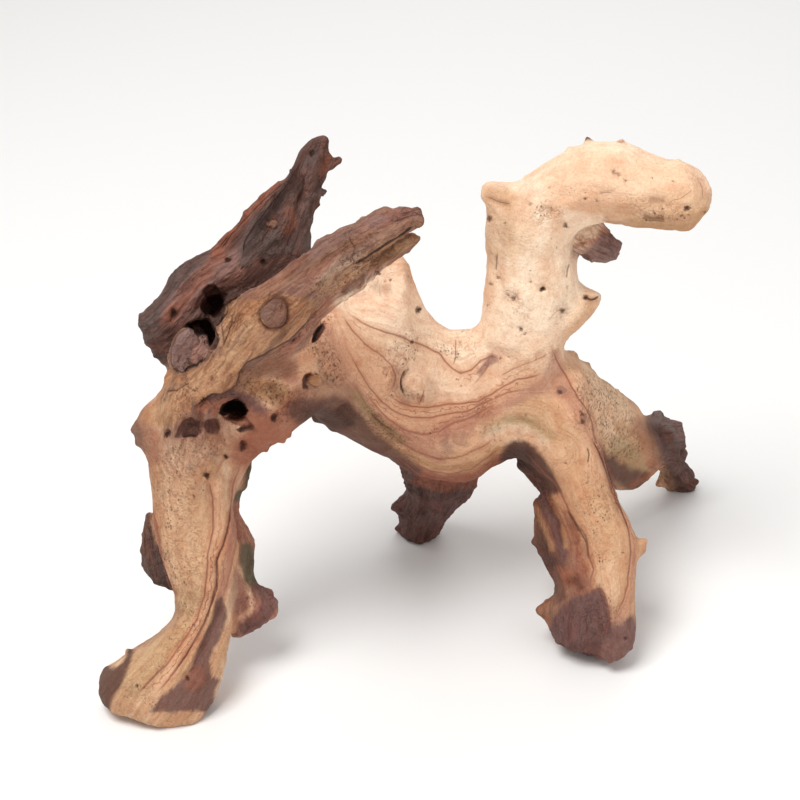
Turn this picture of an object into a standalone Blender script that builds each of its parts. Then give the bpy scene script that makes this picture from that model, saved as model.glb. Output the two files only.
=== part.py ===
"""A piece of driftwood: one weathered root crown of a hard, two-toned wood, standing on its roots.

Every limb is drawn as it shows from the front: a row of stations, each with the limb's two edges,
how far back its middle lies and how deep it is there. The limbs are lofted, grown together into one
body, hollowed, weathered along the grain and trimmed flat where the feet stand. Millimetres are used
for all sizes, and turned to metres where a point is placed.
"""

import math

import bmesh
import bpy
import numpy as np
from mathutils import Vector, noise
from mathutils.kdtree import KDTree

MM = 0.001

# The drawing plane: the front view looks down on the wood by this angle, from this distance,
# at a point this high above the ground
VIEW_TILT = math.radians(30)
VIEW_DISTANCE = 1600
AIM_HEIGHT = 173

# The loft, and the skin that grows over it. The skin swells by the crease fill and shrinks back by
# the trim, which closes the creases between limbs and takes off what the two skins added.
STEPS_BETWEEN_STATIONS = 4
POINTS_ROUND = 20
SKIN_CELL = 2.6
SKIN_SMOOTHING = 3
CREASE_FILL = 5.0
CREASE_TRIM = 5.6
FINISHED_TRIANGLES = 9600

# Weathering along the grain: (depth, width, how many times longer than wide)
FLUTES = ((1.5, 8.0, 7.0), (2.0, 24.0, 2.5))
# How much deeper than that each limb is worn, where it isn't the plain amount
WEAR = {
    "slab": 2.0,
    "horn": 1.4,
    "horn_splinter": 1.4,
    "mid_foot": 1.5,
    "front_strand": 1.6,
    "leg_fin": 1.5,
}
# How sharply one limb's wear gives way to the next one's near a join
GRAIN_SHARPNESS = 6

# Each limb's stations: (edge, edge, back, deep). An edge is (right, up) from the aimed point.
LIMBS = {
    "trunk": (
        ((-202, -21), (-200, -31), -96, 10),
        ((-194, -11), (-191, -38), -94, 34),
        ((-181, 2), (-178, -45), -88, 56),
        ((-172, 15), (-158, -47), -85, 66),
        ((-155, 24), (-139, -46), -82, 72),
        ((-134, 38), (-120, -42), -80, 76),
        ((-112, 62), (-104, -34), -75, 80),
        ((-94, 68), (-89, -20), -65, 80),
        ((-75, 68), (-76, -6), -50, 80),
        ((-56, 75), (-56, -21), -35, 84),
        ((-38, 84), (-38, -31), -20, 86),
        ((-16, 104), (-15, -41), -8, 86),
        ((2, 111), (2, -52), 0, 86),
        ((13, 81), (19, -56), 0, 84),
        ((29, 54), (36, -58), 0, 84),
        ((49, 50), (56, -58), 0, 86),
        ((68, 52), (70, -47), 0, 84),
        ((86, 52), (84, -39), 0, 80),
        ((105, 52), (98, -45), 2, 72),
        ((118, 41), (111, -52), 4, 56),
    ),
    "left_leg": (
        ((-171, 4), (-104, 0), -80, 60),
        ((-190, -30), (-106, -36), -87, 62),
        ((-190, -52), (-114, -51), -92, 58),
        ((-188, -75), (-122, -75), -97, 52),
        ((-186, -98), (-121, -99), -102, 48),
        ((-178, -124), (-122, -126), -107, 46),
        ((-168, -150), (-124, -154), -112, 46),
        ((-174, -166), (-126, -176), -120, 50),
        ((-195, -181), (-128, -189), -130, 58),
        ((-212, -193), (-130, -201), -138, 64),
        ((-225, -202), (-133, -212), -144, 66),
        ((-229, -214), (-138, -225), -148, 64),
        ((-225, -226), (-141, -236), -149, 56),
    ),
    "horn": (
        ((-188, -39), (-116, -52), -90, 44),
        ((-186, -19), (-120, -32), -96, 50),
        ((-177, 12), (-120, -9), -100, 50),
        ((-153, 26), (-122, 4), -104, 48),
        ((-140, 46), (-112, 21), -108, 46),
        ((-124, 73), (-88, 40), -112, 42),
        ((-104, 89), (-66, 62), -113, 40),
        ((-84, 100), (-49, 81), -113, 36),
        ((-68, 112), (-36, 97), -111, 32),
        ((-50, 127), (-24, 103), -109, 30),
        ((-30, 136), (-10, 112), -106, 28),
        ((-14, 144), (3, 122), -103, 24),
        ((2, 145), (14, 127), -100, 18),
        ((17, 142), (20, 130), -98, 10),
    ),
    "slab": (
        ((-200, 61), (-182, 30), -54, 24),
        ((-190, 68), (-161, 24), -54, 30),
        ((-180, 86), (-139, 34), -52, 34),
        ((-165, 103), (-116, 54), -47, 36),
        ((-147, 113), (-88, 73), -40, 36),
        ((-130, 128), (-68, 96), -32, 34),
        ((-114, 145), (-64, 118), -24, 30),
        ((-100, 159), (-62, 141), -16, 26),
        ((-87, 168), (-58, 158), -10, 22),
        ((-80, 184), (-52, 171), -4, 20),
        ((-72, 193), (-52, 184), 0, 16),
        ((-64, 202), (-52, 201), 4, 10),
    ),
    "neck": (
        ((51, 0), (120, -8), 0, 70),
        ((56, 28), (124, 19), 0, 72),
        ((57, 52), (124, 44), 0, 70),
        ((59, 65), (129, 62), 0, 66),
        ((62, 79), (133, 75), 0, 62),
        ((64, 92), (134, 90), 0, 60),
        ((65, 106), (132, 106), 0, 56),
        ((63, 124), (131, 120), 0, 56),
        ((62, 139), (134, 131), 0, 58),
        ((64, 154), (139, 139), 0, 54),
        ((79, 158), (142, 150), 0, 44),
    ),
    "head": (
        ((75, 158), (79, 120), 0, 40),
        ((87, 164), (98, 122), 0, 50),
        ((106, 176), (120, 126), -2, 56),
        ((125, 187), (135, 130), -4, 58),
        ((142, 194), (150, 134), -8, 58),
        ((161, 194), (165, 134), -12, 58),
        ((180, 185), (182, 131), -18, 56),
        ((199, 178), (199, 128), -24, 52),
        ((218, 175), (218, 126), -30, 48),
        ((229, 166), (227, 134), -34, 36),
        ((236, 155), (235, 145), -36, 16),
    ),
    "rear_limb": (
        ((114, 41), (98, -22), 20, 60),
        ((126, 38), (120, -38), 35, 58),
        ((142, 26), (139, -61), 55, 56),
        ((161, 10), (155, -67), 78, 54),
        ((178, -4), (171, -66), 98, 48),
        ((189, -12), (181, -53), 110, 42),
        ((202, -13), (191, -49), 120, 36),
        ((213, -21), (196, -52), 128, 32),
        ((210, -38), (194, -62), 136, 28),
        ((220, -51), (198, -68), 144, 24),
        ((224, -63), (216, -69), 152, 14),
    ),
    "front_leg": (
        ((75, -4), (139, 26), -5, 66),
        ((81, -22), (148, -8), -12, 66),
        ((92, -44), (153, -38), -22, 58),
        ((111, -62), (160, -60), -34, 50),
        ((122, -79), (168, -79), -44, 46),
        ((131, -98), (178, -98), -54, 44),
        ((139, -120), (178, -118), -64, 44),
        ((142, -142), (178, -141), -74, 46),
        ((142, -165), (178, -163), -84, 50),
        ((141, -184), (176, -182), -90, 50),
        ((147, -192), (166, -192), -92, 36),
    ),
    "mid_foot": (
        ((4, 0), (58, -4), 8, 48),
        ((-3, -30), (66, -34), 26, 56),
        ((0, -51), (62, -54), 42, 52),
        ((4, -64), (54, -68), 55, 46),
        ((0, -76), (44, -76), 66, 42),
        ((-2, -88), (36, -86), 76, 38),
        ((-2, -99), (28, -98), 84, 34),
        ((8, -107), (21, -107), 90, 20),
    ),
}

# Thinner growths and broken bits, added after the creases between the limbs are filled
SPURS = {
    "leg_fin": (
        ((-126, -41), (-111, -48), -70, 28),
        ((-130, -60), (-112, -61), -72, 28),
        ((-134, -75), (-120, -75), -76, 26),
        ((-134, -90), (-119, -91), -80, 26),
        ((-131, -105), (-110, -106), -84, 26),
        ((-131, -120), (-110, -120), -87, 24),
        ((-131, -134), (-108, -134), -90, 26),
        ((-130, -142), (-100, -142), -93, 28),
        ((-129, -152), (-90, -153), -95, 30),
        ((-128, -163), (-92, -162), -98, 28),
        ((-127, -172), (-110, -172), -101, 24),
        ((-128, -180), (-123, -177), -104, 12),
    ),
    "leg_flake": (
        ((-192, -83), (-180, -83), -80, 8),
        ((-194, -94), (-174, -94), -82, 15),
        ((-194, -112), (-169, -112), -86, 17),
        ((-194, -126), (-166, -126), -88, 17),
        ((-188, -135), (-164, -135), -91, 15),
        ((-174, -143), (-160, -144), -94, 8),
    ),
    "horn_splinter": (
        ((-112, 52), (-82, 28), -104, 36),
        ((-86, 71), (-58, 57), -104, 30),
        ((-62, 88), (-40, 77), -102, 26),
        ((-41, 100), (-26, 88), -99, 24),
        ((-26, 106), (-12, 97), -96, 22),
        ((-10, 114), (0, 105), -94, 18),
        ((2, 124), (12, 113), -93, 14),
        ((14, 125), (18, 120), -92, 8),
    ),
    "slab_spur": (
        ((-58, 182), (-58, 169), 0, 14),
        ((-50, 182), (-49, 174), 0, 9),
        ((-41, 182), (-41, 178), 0, 5),
    ),
    "slab_tooth": (
        ((-66, 164), (-68, 148), -8, 14),
        ((-60, 160), (-61, 150), -8, 10),
        ((-54, 156), (-55, 152), -8, 5),
    ),
    "slab_flap": (
        ((-176, 26), (-156, 20), -76, 14),
        ((-172, 36), (-141, 30), -84, 13),
        ((-168, 46), (-141, 41), -88, 12),
        ((-160, 55), (-144, 52), -88, 9),
        ((-153, 59), (-148, 58), -86, 6),
    ),
    "neck_stub": (
        ((80, 162), (75, 129), 0, 32),
        ((70, 164), (64, 146), 0, 28),
        ((62, 163), (59, 154), 0, 16),
    ),
    "chin": (
        ((131, 139), (130, 112), 10, 32),
        ((142, 139), (138, 107), 14, 30),
        ((152, 134), (146, 105), 16, 28),
        ((160, 124), (156, 104), 18, 24),
        ((167, 118), (166, 108), 18, 12),
    ),
    "neck_thorn": (
        ((128, 92), (120, 45), 0, 46),
        ((137, 84), (131, 52), -2, 38),
        ((145, 81), (141, 63), -4, 24),
        ((153, 80), (150, 72), -6, 10),
    ),
    "trunk_thorn": (
        ((3, 15), (20, 16), -34, 16),
        ((8, 8), (20, 10), -40, 15),
        ((11, 2), (19, 3), -45, 10),
        ((14, -4), (17, -4), -47, 6),
    ),
    "rear_spur": (
        ((188, -14), (201, -15), 116, 14),
        ((191, -10), (198, -10), 116, 10),
        ((193, -7), (196, -7), 116, 4),
    ),
    "front_strand": (
        ((83, -40), (124, -41), 5, 40),
        ((93, -52), (131, -56), -8, 42),
        ((106, -68), (139, -68), -20, 42),
        ((100, -82), (142, -82), -28, 42),
        ((99, -100), (146, -99), -38, 44),
        ((106, -118), (150, -118), -50, 46),
        ((117, -136), (154, -136), -62, 48),
        ((112, -154), (158, -154), -70, 52),
        ((112, -172), (159, -171), -80, 54),
        ((122, -182), (159, -184), -84, 48),
        ((141, -190), (158, -193), -88, 30),
    ),
    "front_toe": (
        ((120, -148), (120, -167), -72, 26),
        ((110, -152), (110, -165), -72, 18),
        ((104, -154), (104, -160), -72, 10),
    ),
    "front_barb": (
        ((171, -98), (171, -120), -58, 22),
        ((180, -105), (179, -116), -56, 14),
        ((186, -110), (186, -114), -54, 6),
    ),
    "mid_toe": (
        ((6, -71), (6, -88), 66, 24),
        ((0, -74), (0, -86), 66, 16),
        ((-4, -78), (-4, -83), 66, 8),
    ),
    "mid_heel": (
        ((6, -89), (6, -104), 80, 22),
        ((0, -92), (0, -103), 82, 16),
        ((-2, -96), (-2, -100), 82, 8),
    ),
}

# Hollows worn into the wood: stations of the space that is taken out, one behind the other
HOLLOWS = {
    "shoulder_cave": (
        ((-134, -8), (-113, -8), -134, 20),
        ((-134, -7), (-114, -8), -116, 19),
        ((-130, -6), (-116, -7), -102, 14),
        ((-128, -6), (-119, -6), -94, 9),
    ),
    "slab_upper_hole": (
        ((-147, 80), (-134, 68), -90, 26),
        ((-146, 80), (-134, 68), -66, 25),
        ((-145, 78), (-136, 70), -46, 20),
        ((-142, 76), (-138, 72), -34, 12),
    ),
    "slab_lower_hole": (
        ((-158, 58), (-136, 41), -90, 17),
        ((-157, 58), (-137, 42), -68, 16),
        ((-154, 56), (-140, 45), -50, 12),
    ),
    "flake_hole": (
        ((-171, 64), (-168, 63), -80, 9),
        ((-170, 64), (-169, 64), -52, 5),
    ),
}

# Burls raised from the surface, or dents where the height is below zero, on the side that is looked
# at: (right, up, radius, height)
FRONT_BURLS = (
    (-94, 64, 13, 3),
    (-159, -22, 11, -5),
    (-141, -20, 9, -4),
    (-65, 13, 10, 4),
    (-63, 50, 7, -5),
    (-15, 88, 15, -4),
    (11, 12, 12, 4),
    (47, -30, 11, 2),
    (137, -11, 11, 3),
    (10, 45, 9, 2),
    (106, 84, 10, -2),
    (92, 51, 9, -2),
    (140, 152, 12, 2),
    (-150, -60, 12, 2),
)
BACK_BURLS = (
    (-60, 20, 24, 6),
    (10, 60, 20, -5),
    (60, 30, 26, 6),
    (100, 130, 18, 4),
    (-150, -60, 20, 5),
    (150, 150, 20, -4),
    (-110, 60, 16, 4),
)

# Bare, sandblasted root wood: between the pale outer wood and the dark heart
WOOD_TAN = (0.45, 0.25, 0.14, 1.0)
WOOD_ROUGHNESS = 0.8


def clear_scene():
    for obj in list(bpy.data.objects):
        bpy.data.objects.remove(obj, do_unlink=True)


def view_axes():
    """The direction of looking, and the one that shows as up."""
    look = Vector((0, math.cos(VIEW_TILT), -math.sin(VIEW_TILT)))
    rise = Vector((0, math.sin(VIEW_TILT), math.cos(VIEW_TILT)))
    return look, rise


def placed(edge, back):
    """The point that shows at this place of the drawing, and lies this far back."""
    look, rise = view_axes()
    eye = Vector((0, 0, AIM_HEIGHT)) - look * VIEW_DISTANCE
    ray = look * VIEW_DISTANCE + Vector((edge[0], 0, 0)) + rise * edge[1]
    return (eye + ray * ((back - eye.y) / ray.y)) * MM


def between(before, start, end, after, share):
    """A point on the smooth curve through four values, share of the way from start to end."""
    bend = 2 * before - 5 * start + 4 * end - after
    turn = 3 * start - before - 3 * end + after
    return 0.5 * (2 * start + (end - before) * share + bend * share**2 + turn * share**3)


def smooth_stations(stations):
    """Stations as rows of two placed edges and a depth, with more of them read off the curve."""
    rows = [
        np.array([*placed(a, back), *placed(b, back), deep * MM])
        for a, b, back, deep in stations
    ]
    rows = [2 * rows[0] - rows[1], *rows, 2 * rows[-1] - rows[-2]]
    dense = []
    for before, start, end, after in zip(rows, rows[1:], rows[2:], rows[3:]):
        for step in range(STEPS_BETWEEN_STATIONS):
            dense.append(between(before, start, end, after, step / STEPS_BETWEEN_STATIONS))
    dense.append(rows[-2])
    return np.array(dense)


def rings_along(stations, straight_in):
    """Oval cross sections from edge to edge: across the limb's own way, or across the way of looking."""
    rows = smooth_stations(stations)
    middles = (rows[:, :3] + rows[:, 3:6]) / 2
    ways = np.gradient(middles, axis=0)
    look, _ = view_axes()
    rings = []
    for row, middle, way in zip(rows, middles, ways):
        half = Vector((row[:3] - row[3:6]) / 2)
        depth = (look if straight_in else Vector(way)).cross(half).normalized()
        if not straight_in and depth.dot(look) > 0:
            depth.negate()
        depth *= max(row[6], MM) / 2
        angles = [2 * math.pi * k / POINTS_ROUND for k in range(POINTS_ROUND)]
        rings.append([Vector(middle) + half * math.cos(a) + depth * math.sin(a) for a in angles])
    return rings


def loft(name, stations, straight_in=False):
    """A closed skin over the cross sections."""
    mesh = bpy.data.meshes.new(name)
    shell = bmesh.new()
    loops = [[shell.verts.new(point) for point in ring] for ring in rings_along(stations, straight_in)]
    for ring, following in zip(loops, loops[1:]):
        for k in range(POINTS_ROUND):
            nearby = (k + 1) % POINTS_ROUND
            shell.faces.new((ring[k], ring[nearby], following[nearby], following[k]))
    shell.faces.new(loops[0][::-1])
    shell.faces.new(loops[-1])
    bmesh.ops.recalc_face_normals(shell, faces=shell.faces)
    shell.to_mesh(mesh)
    shell.free()
    obj = bpy.data.objects.new(name, mesh)
    bpy.context.scene.collection.objects.link(obj)
    return obj


def apply_modifiers(obj):
    graph = bpy.context.evaluated_depsgraph_get()
    mesh = bpy.data.meshes.new_from_object(obj.evaluated_get(graph))
    obj.modifiers.clear()
    obj.data = mesh


def join_limbs(body, table):
    """Adds each limb's skin to the body's own."""
    whole = bmesh.new()
    whole.from_mesh(body.data)
    for name, stations in table.items():
        limb = loft(name, stations)
        whole.from_mesh(limb.data)
        bpy.data.objects.remove(limb, do_unlink=True)
    whole.to_mesh(body.data)
    whole.free()


def regrow(body, swell=0.0):
    """One fresh, even skin over everything in the body, moved outward by the swell."""
    skin = body.modifiers.new("skin", "REMESH")
    skin.mode = "VOXEL"
    skin.voxel_size = SKIN_CELL * MM
    even = body.modifiers.new("even", "SMOOTH")
    even.factor = 0.5
    even.iterations = SKIN_SMOOTHING
    if swell:
        move = body.modifiers.new("swell", "DISPLACE")
        move.mid_level = 0
        move.strength = swell * MM
    apply_modifiers(body)
    drop_crumbs(body)


def drop_crumbs(body):
    """Removes every loose shell but the largest, which is the wood."""
    shell = bmesh.new()
    shell.from_mesh(body.data)
    waiting = set(shell.verts)
    shells = []
    while waiting:
        reached = [waiting.pop()]
        for vertex in reached:
            around = {edge.other_vert(vertex) for edge in vertex.link_edges} & waiting
            waiting -= around
            reached.extend(around)
        shells.append(reached)
    shells.sort(key=len)
    bmesh.ops.delete(shell, geom=[v for crumb in shells[:-1] for v in crumb], context="VERTS")
    shell.to_mesh(body.data)
    shell.free()


def hollow_out(body):
    """Takes the worn hollows out of the body."""
    for name, stations in HOLLOWS.items():
        cutter = loft(name, stations, straight_in=True)
        cutter.hide_render = True
        cutter.display_type = "WIRE"
        cut = body.modifiers.new(name, "BOOLEAN")
        cut.operation = "DIFFERENCE"
        cut.object = cutter
        apply_modifiers(body)
        bpy.data.objects.remove(cutter, do_unlink=True)
    regrow(body)


def grain_lines():
    """Points along every limb's middle: (limb, point, way, length so far)."""
    lines = []
    for name, stations in {**LIMBS, **SPURS}.items():
        rows = smooth_stations(stations)
        middles = (rows[:, :3] + rows[:, 3:6]) / 2
        run = 0.0
        for here, following in zip(middles, middles[1:]):
            lines.append((name, Vector(here), Vector(following - here).normalized(), run))
            run += float(np.linalg.norm(following - here))
    return lines


def wear_at(spot, line):
    """How far the surface moves at this spot, read in the limb's own grain."""
    name, point, way, run = line
    offset = spot - point
    along = way.dot(offset)
    across = offset - way * along
    height = 0.0
    for depth, width, stretch in FLUTES:
        shift = (run + along) / stretch
        height += depth * noise.noise((across + Vector((shift, shift, shift))) / (width * MM))
    return height * WEAR.get(name, 1.0)


def weather(body):
    """Wears the surface along the grain. Near a join, each limb's own wear fades into the next one's."""
    lines = grain_lines()
    tree = KDTree(len(lines))
    for index, line in enumerate(lines):
        tree.insert(line[1], index)
    tree.balance()
    worn = []
    for vertex in body.data.vertices:
        nearest = {}
        for _, index, distance in tree.find_n(vertex.co, 16):
            nearest.setdefault(lines[index][0], (distance, lines[index]))
        weights = [distance**-GRAIN_SHARPNESS for distance, _ in nearest.values()]
        heights = [wear_at(vertex.co, line) for _, line in nearest.values()]
        height = sum(w * h for w, h in zip(weights, heights)) / sum(weights)
        worn.append(vertex.co + vertex.normal * height * MM)
    for vertex, spot in zip(body.data.vertices, worn):
        vertex.co = spot


def press(body, burls, from_front):
    """Raises each burl, or sinks it where its height is below zero."""
    look, _ = view_axes()
    for right, up, radius, height in burls:
        near, far = placed((right, up), -300), placed((right, up), 300)
        start, way = (near, far - near) if from_front else (far, near - far)
        hit, spot, _, _ = body.ray_cast(start, way.normalized())
        if not hit:
            continue
        for vertex in body.data.vertices:
            reach = (vertex.co - spot).length / (radius * MM)
            if reach < 1 and (vertex.normal.dot(look) < 0) == from_front:
                vertex.co += vertex.normal * (height * MM * (1 - reach**2) ** 2)


def thin_out(body):
    """Fewer, larger faces where the wood is plain."""
    body.data.calc_loop_triangles()
    fewer = body.modifiers.new("fewer", "DECIMATE")
    fewer.ratio = FINISHED_TRIANGLES / len(body.data.loop_triangles)
    fewer.use_collapse_triangulate = True
    apply_modifiers(body)


def stand(body):
    """Trims the feet flat at the ground, and centres the wood over the origin."""
    shell = bmesh.new()
    shell.from_mesh(body.data)
    everything = shell.verts[:] + shell.edges[:] + shell.faces[:]
    cut = bmesh.ops.bisect_plane(
        shell, geom=everything, dist=0.00001, plane_co=(0, 0, 0), plane_no=(0, 0, 1), clear_inner=True
    )
    rim = [piece for piece in cut["geom_cut"] if isinstance(piece, bmesh.types.BMEdge)]
    bmesh.ops.holes_fill(shell, edges=rim)
    bmesh.ops.recalc_face_normals(shell, faces=shell.faces)
    bmesh.ops.triangulate(shell, faces=shell.faces)
    low = Vector([min(v.co[axis] for v in shell.verts) for axis in range(3)])
    high = Vector([max(v.co[axis] for v in shell.verts) for axis in range(3)])
    middle = (low + high) / 2
    bmesh.ops.translate(shell, verts=shell.verts, vec=(-middle.x, -middle.y, 0))
    shell.to_mesh(body.data)
    shell.free()


def wood_material():
    material = bpy.data.materials.new("weathered_wood")
    material.use_nodes = True
    shader = material.node_tree.nodes["Principled BSDF"]
    shader.inputs["Base Color"].default_value = WOOD_TAN
    shader.inputs["Roughness"].default_value = WOOD_ROUGHNESS
    shader.inputs["Metallic"].default_value = 0.0
    return material


def main():
    clear_scene()
    wood = bpy.data.objects.new("driftwood", bpy.data.meshes.new("driftwood"))
    bpy.context.scene.collection.objects.link(wood)
    join_limbs(wood, LIMBS)
    regrow(wood, CREASE_FILL)
    regrow(wood, -CREASE_TRIM)
    join_limbs(wood, SPURS)
    regrow(wood)
    hollow_out(wood)
    weather(wood)
    press(wood, FRONT_BURLS, from_front=True)
    press(wood, BACK_BURLS, from_front=False)
    thin_out(wood)
    stand(wood)
    wood.data.materials.clear()
    wood.data.materials.append(wood_material())
    wood.data.shade_smooth()


main()
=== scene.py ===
"""The looks of a piece of driftwood: a weathered root crown of pale sapwood over dark heartwood.

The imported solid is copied, given a finer skin, carved with the lips, knots, cracks and holes that its
front shows, and weathered along the grain all round. Each of its points then keeps its wood tone, its
place in the grain and how near it is to a vein, a crack or a pit, which the material reads.

Places on the front are (right, down) on a drawing sheet 800 steps square, whose middle is the point
that the camera looks at. A step is 0.75 mm there.
"""

import itertools
import math

import bpy
import numpy as np
from bpy.props import (
    FloatProperty,
    FloatVectorProperty,
    IntProperty,
    PointerProperty,
)
from bpy.types import Operator, Panel, PropertyGroup
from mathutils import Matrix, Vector
from mathutils.bvhtree import BVHTree
from mathutils.kdtree import KDTree


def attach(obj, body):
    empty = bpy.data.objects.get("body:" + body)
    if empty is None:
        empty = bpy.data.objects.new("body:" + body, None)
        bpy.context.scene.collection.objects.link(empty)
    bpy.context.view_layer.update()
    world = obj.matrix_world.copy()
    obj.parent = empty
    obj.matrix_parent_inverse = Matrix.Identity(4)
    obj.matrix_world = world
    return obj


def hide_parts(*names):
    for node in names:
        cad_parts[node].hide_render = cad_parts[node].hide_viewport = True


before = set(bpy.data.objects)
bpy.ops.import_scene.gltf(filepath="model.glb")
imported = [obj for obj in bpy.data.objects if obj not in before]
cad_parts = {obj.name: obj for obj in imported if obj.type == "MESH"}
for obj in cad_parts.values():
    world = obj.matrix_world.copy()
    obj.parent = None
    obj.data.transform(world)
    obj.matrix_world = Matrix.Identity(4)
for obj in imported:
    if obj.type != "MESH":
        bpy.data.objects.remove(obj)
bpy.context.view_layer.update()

bl_info = {
    "name": "Driftwood looks",
    "version": (1, 0, 0),
    "blender": (4, 5, 0),
    "location": "View3D > Sidebar > Driftwood",
    "description": "Carves, tones and lights a weathered piece of driftwood",
    "category": "Object",
}

MM = 0.001

# The drawing sheet: how it lies before the wood
SHEET_STEP = 0.75 * MM
SHEET_MIDDLE = 400
VIEW_TILT = math.radians(30)
VIEW_DISTANCE = 1.6
AIM = Vector((-0.01593, 0.01081, 0.173))

# How squarely a point faces the viewer where it starts to show, and where it shows in full
FACING = (0.02, 0.25)
# A ray to the viewer starts this far off the skin, and this long it clears all the wood
RAY_LIFT = 0.8 * MM
RAY_REACH = 1.2
# A point that shows more than this much keeps its own tone, and hidden wood takes the tone of the
# nearest one, less and less over this distance
SEEN = 0.3
CARRY = 30 * MM
CARRY_WANDER = 12 * MM

# The plate that the growth layers follow: its unit in steps, how far it may miss a line's level, and
# how many places are worked out at once
PLATE_UNIT = 100
PLATE_GIVE = 0.01
PLATE_BATCH = 20000

# Depth in mm and half width in steps of a crack and of a vein's groove
CRACK_GROOVE = (1.8, 1.3)
VEIN_GROOVE = (0.35, 1.4)
# Where the painted shade of a carved hollow starts, and where it is full, by the hollow's depth
SUNK_SHADE_FROM, SUNK_SHADE_FULL = 0.3 * MM, 2.6 * MM
# The carving fades out over this height above the floor, so that the soles stay flat
SOLE = 4 * MM

# The run of each limb's grain: where it starts to count from, in mm, which keeps the grain of a limb
# in step with the limb that it grows from, and then its middle line as (right, down, back, radius).
# Back is in mm behind the aimed point, and the radius is in steps.
GRAIN = {
    "trunk": (0, (
        (133, 435, -96, 14), (154, 432, -91, 26), (174, 421, -85, 38), (204, 415, -82, 46),
        (231, 403, -80, 50), (256, 382, -75, 58), (278, 368, -65, 56), (300, 359, -50, 52),
        (325, 364, -35, 58), (350, 364, -20, 66), (379, 358, -8, 74), (402, 380, 0, 80),
        (421, 383, 0, 74), (444, 402, 0, 70), (470, 405, 0, 68), (492, 396, 0, 64),
        (514, 391, 0, 60), (535, 395, 2, 60), (555, 408, 4, 56),
    )),
    "left_leg": (60, (
        (210, 400, -80, 46), (202, 444, -87, 50), (197, 469, -92, 46), (194, 500, -97, 42),
        (195, 531, -102, 40), (200, 566, -107, 36), (205, 603, -112, 32), (200, 628, -120, 34),
        (185, 647, -130, 42), (172, 662, -138, 48), (161, 676, -144, 50), (150, 697, -148, 50),
    )),
    "horn": (60, (
        (198, 461, -90, 44), (196, 434, -96, 44), (202, 398, -100, 40), (217, 380, -104, 30),
        (232, 355, -108, 26), (258, 325, -112, 28), (287, 299, -113, 28), (312, 280, -113, 25),
        (330, 261, -111, 22), (351, 247, -109, 20), (373, 234, -106, 18), (393, 223, -103, 16),
        (411, 213, -100, 12), (426, 219, -98, 8),
    )),
    "slab": (120, (
        (146, 340, -54, 24), (166, 338, -54, 32), (188, 320, -52, 38), (212, 295, -47, 38),
        (243, 276, -40, 38), (268, 250, -32, 36), (281, 225, -24, 32), (292, 200, -16, 26),
        (303, 183, -10, 20), (311, 163, -4, 16), (318, 149, 0, 13), (322, 131, 4, 8),
    )),
    "neck": (330, (
        (514, 405, 0, 46), (519, 368, 0, 44), (521, 336, 0, 42), (525, 315, 0, 42),
        (530, 296, 0, 42), (531, 279, 0, 42), (530, 259, 0, 40), (529, 237, 0, 40),
        (530, 220, 0, 42), (535, 205, 0, 44), (547, 195, 0, 40),
    )),
    "head": (500, (
        (502, 215, 0, 22), (523, 210, 0, 28), (550, 199, -2, 34), (573, 189, -4, 38),
        (595, 181, -8, 40), (618, 182, -12, 40), (641, 189, -18, 38), (665, 196, -24, 34),
        (690, 199, -30, 33), (704, 199, -34, 24), (713, 200, -36, 12),
    )),
    "rear_limb": (420, (
        (541, 387, 20, 42), (564, 400, 35, 46), (587, 424, 55, 50), (611, 437, 78, 46),
        (632, 447, 98, 40), (647, 443, 110, 30), (663, 441, 120, 26), (672, 449, 128, 24),
        (669, 466, 136, 18), (678, 479, 144, 15), (694, 488, 152, 9),
    )),
    "front_leg": (400, (
        (543, 385, -5, 44), (553, 420, -12, 44), (563, 454, -22, 40), (581, 481, -34, 34),
        (593, 505, -44, 32), (607, 530, -54, 32), (612, 559, -64, 28), (614, 589, -74, 26),
        (614, 619, -84, 26), (611, 644, -90, 26), (609, 656, -92, 16),
    )),
    "mid_foot": (300, (
        (441, 402, 8, 36), (442, 442, 26, 44), (441, 470, 42, 40), (439, 488, 55, 32),
        (429, 502, 66, 29), (423, 517, 76, 26), (417, 532, 84, 20), (419, 543, 90, 10),
    )),
    "leg_fin": (120, (
        (242, 460, -70, 15), (238, 480, -72, 15), (231, 510, -78, 14), (240, 540, -84, 17),
        (241, 578, -90, 18), (250, 603, -95, 26), (246, 622, -100, 20), (233, 638, -104, 6),
    )),
    "leg_flake": (120, (
        (152, 511, -80, 8), (155, 525, -82, 12), (158, 550, -86, 15), (163, 580, -91, 14),
        (176, 592, -94, 8),
    )),
    "chin": (560, (
        (574, 232, 10, 22), (587, 236, 14, 22), (598, 240, 16, 20), (611, 247, 18, 14),
        (622, 249, 18, 8),
    )),
    "front_strand": (440, (
        (538, 454, 5, 32), (549, 472, -8, 32), (563, 490, -20, 30), (561, 510, -28, 36),
        (564, 533, -38, 38), (570, 558, -50, 38), (580, 582, -62, 36), (580, 605, -70, 40),
        (580, 629, -80, 40), (587, 644, -84, 32), (599, 656, -88, 14),
    )),
}
# How sharply one limb's grain and tone give way to the next one's at a join
LIMB_SHARPNESS = 6

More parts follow.
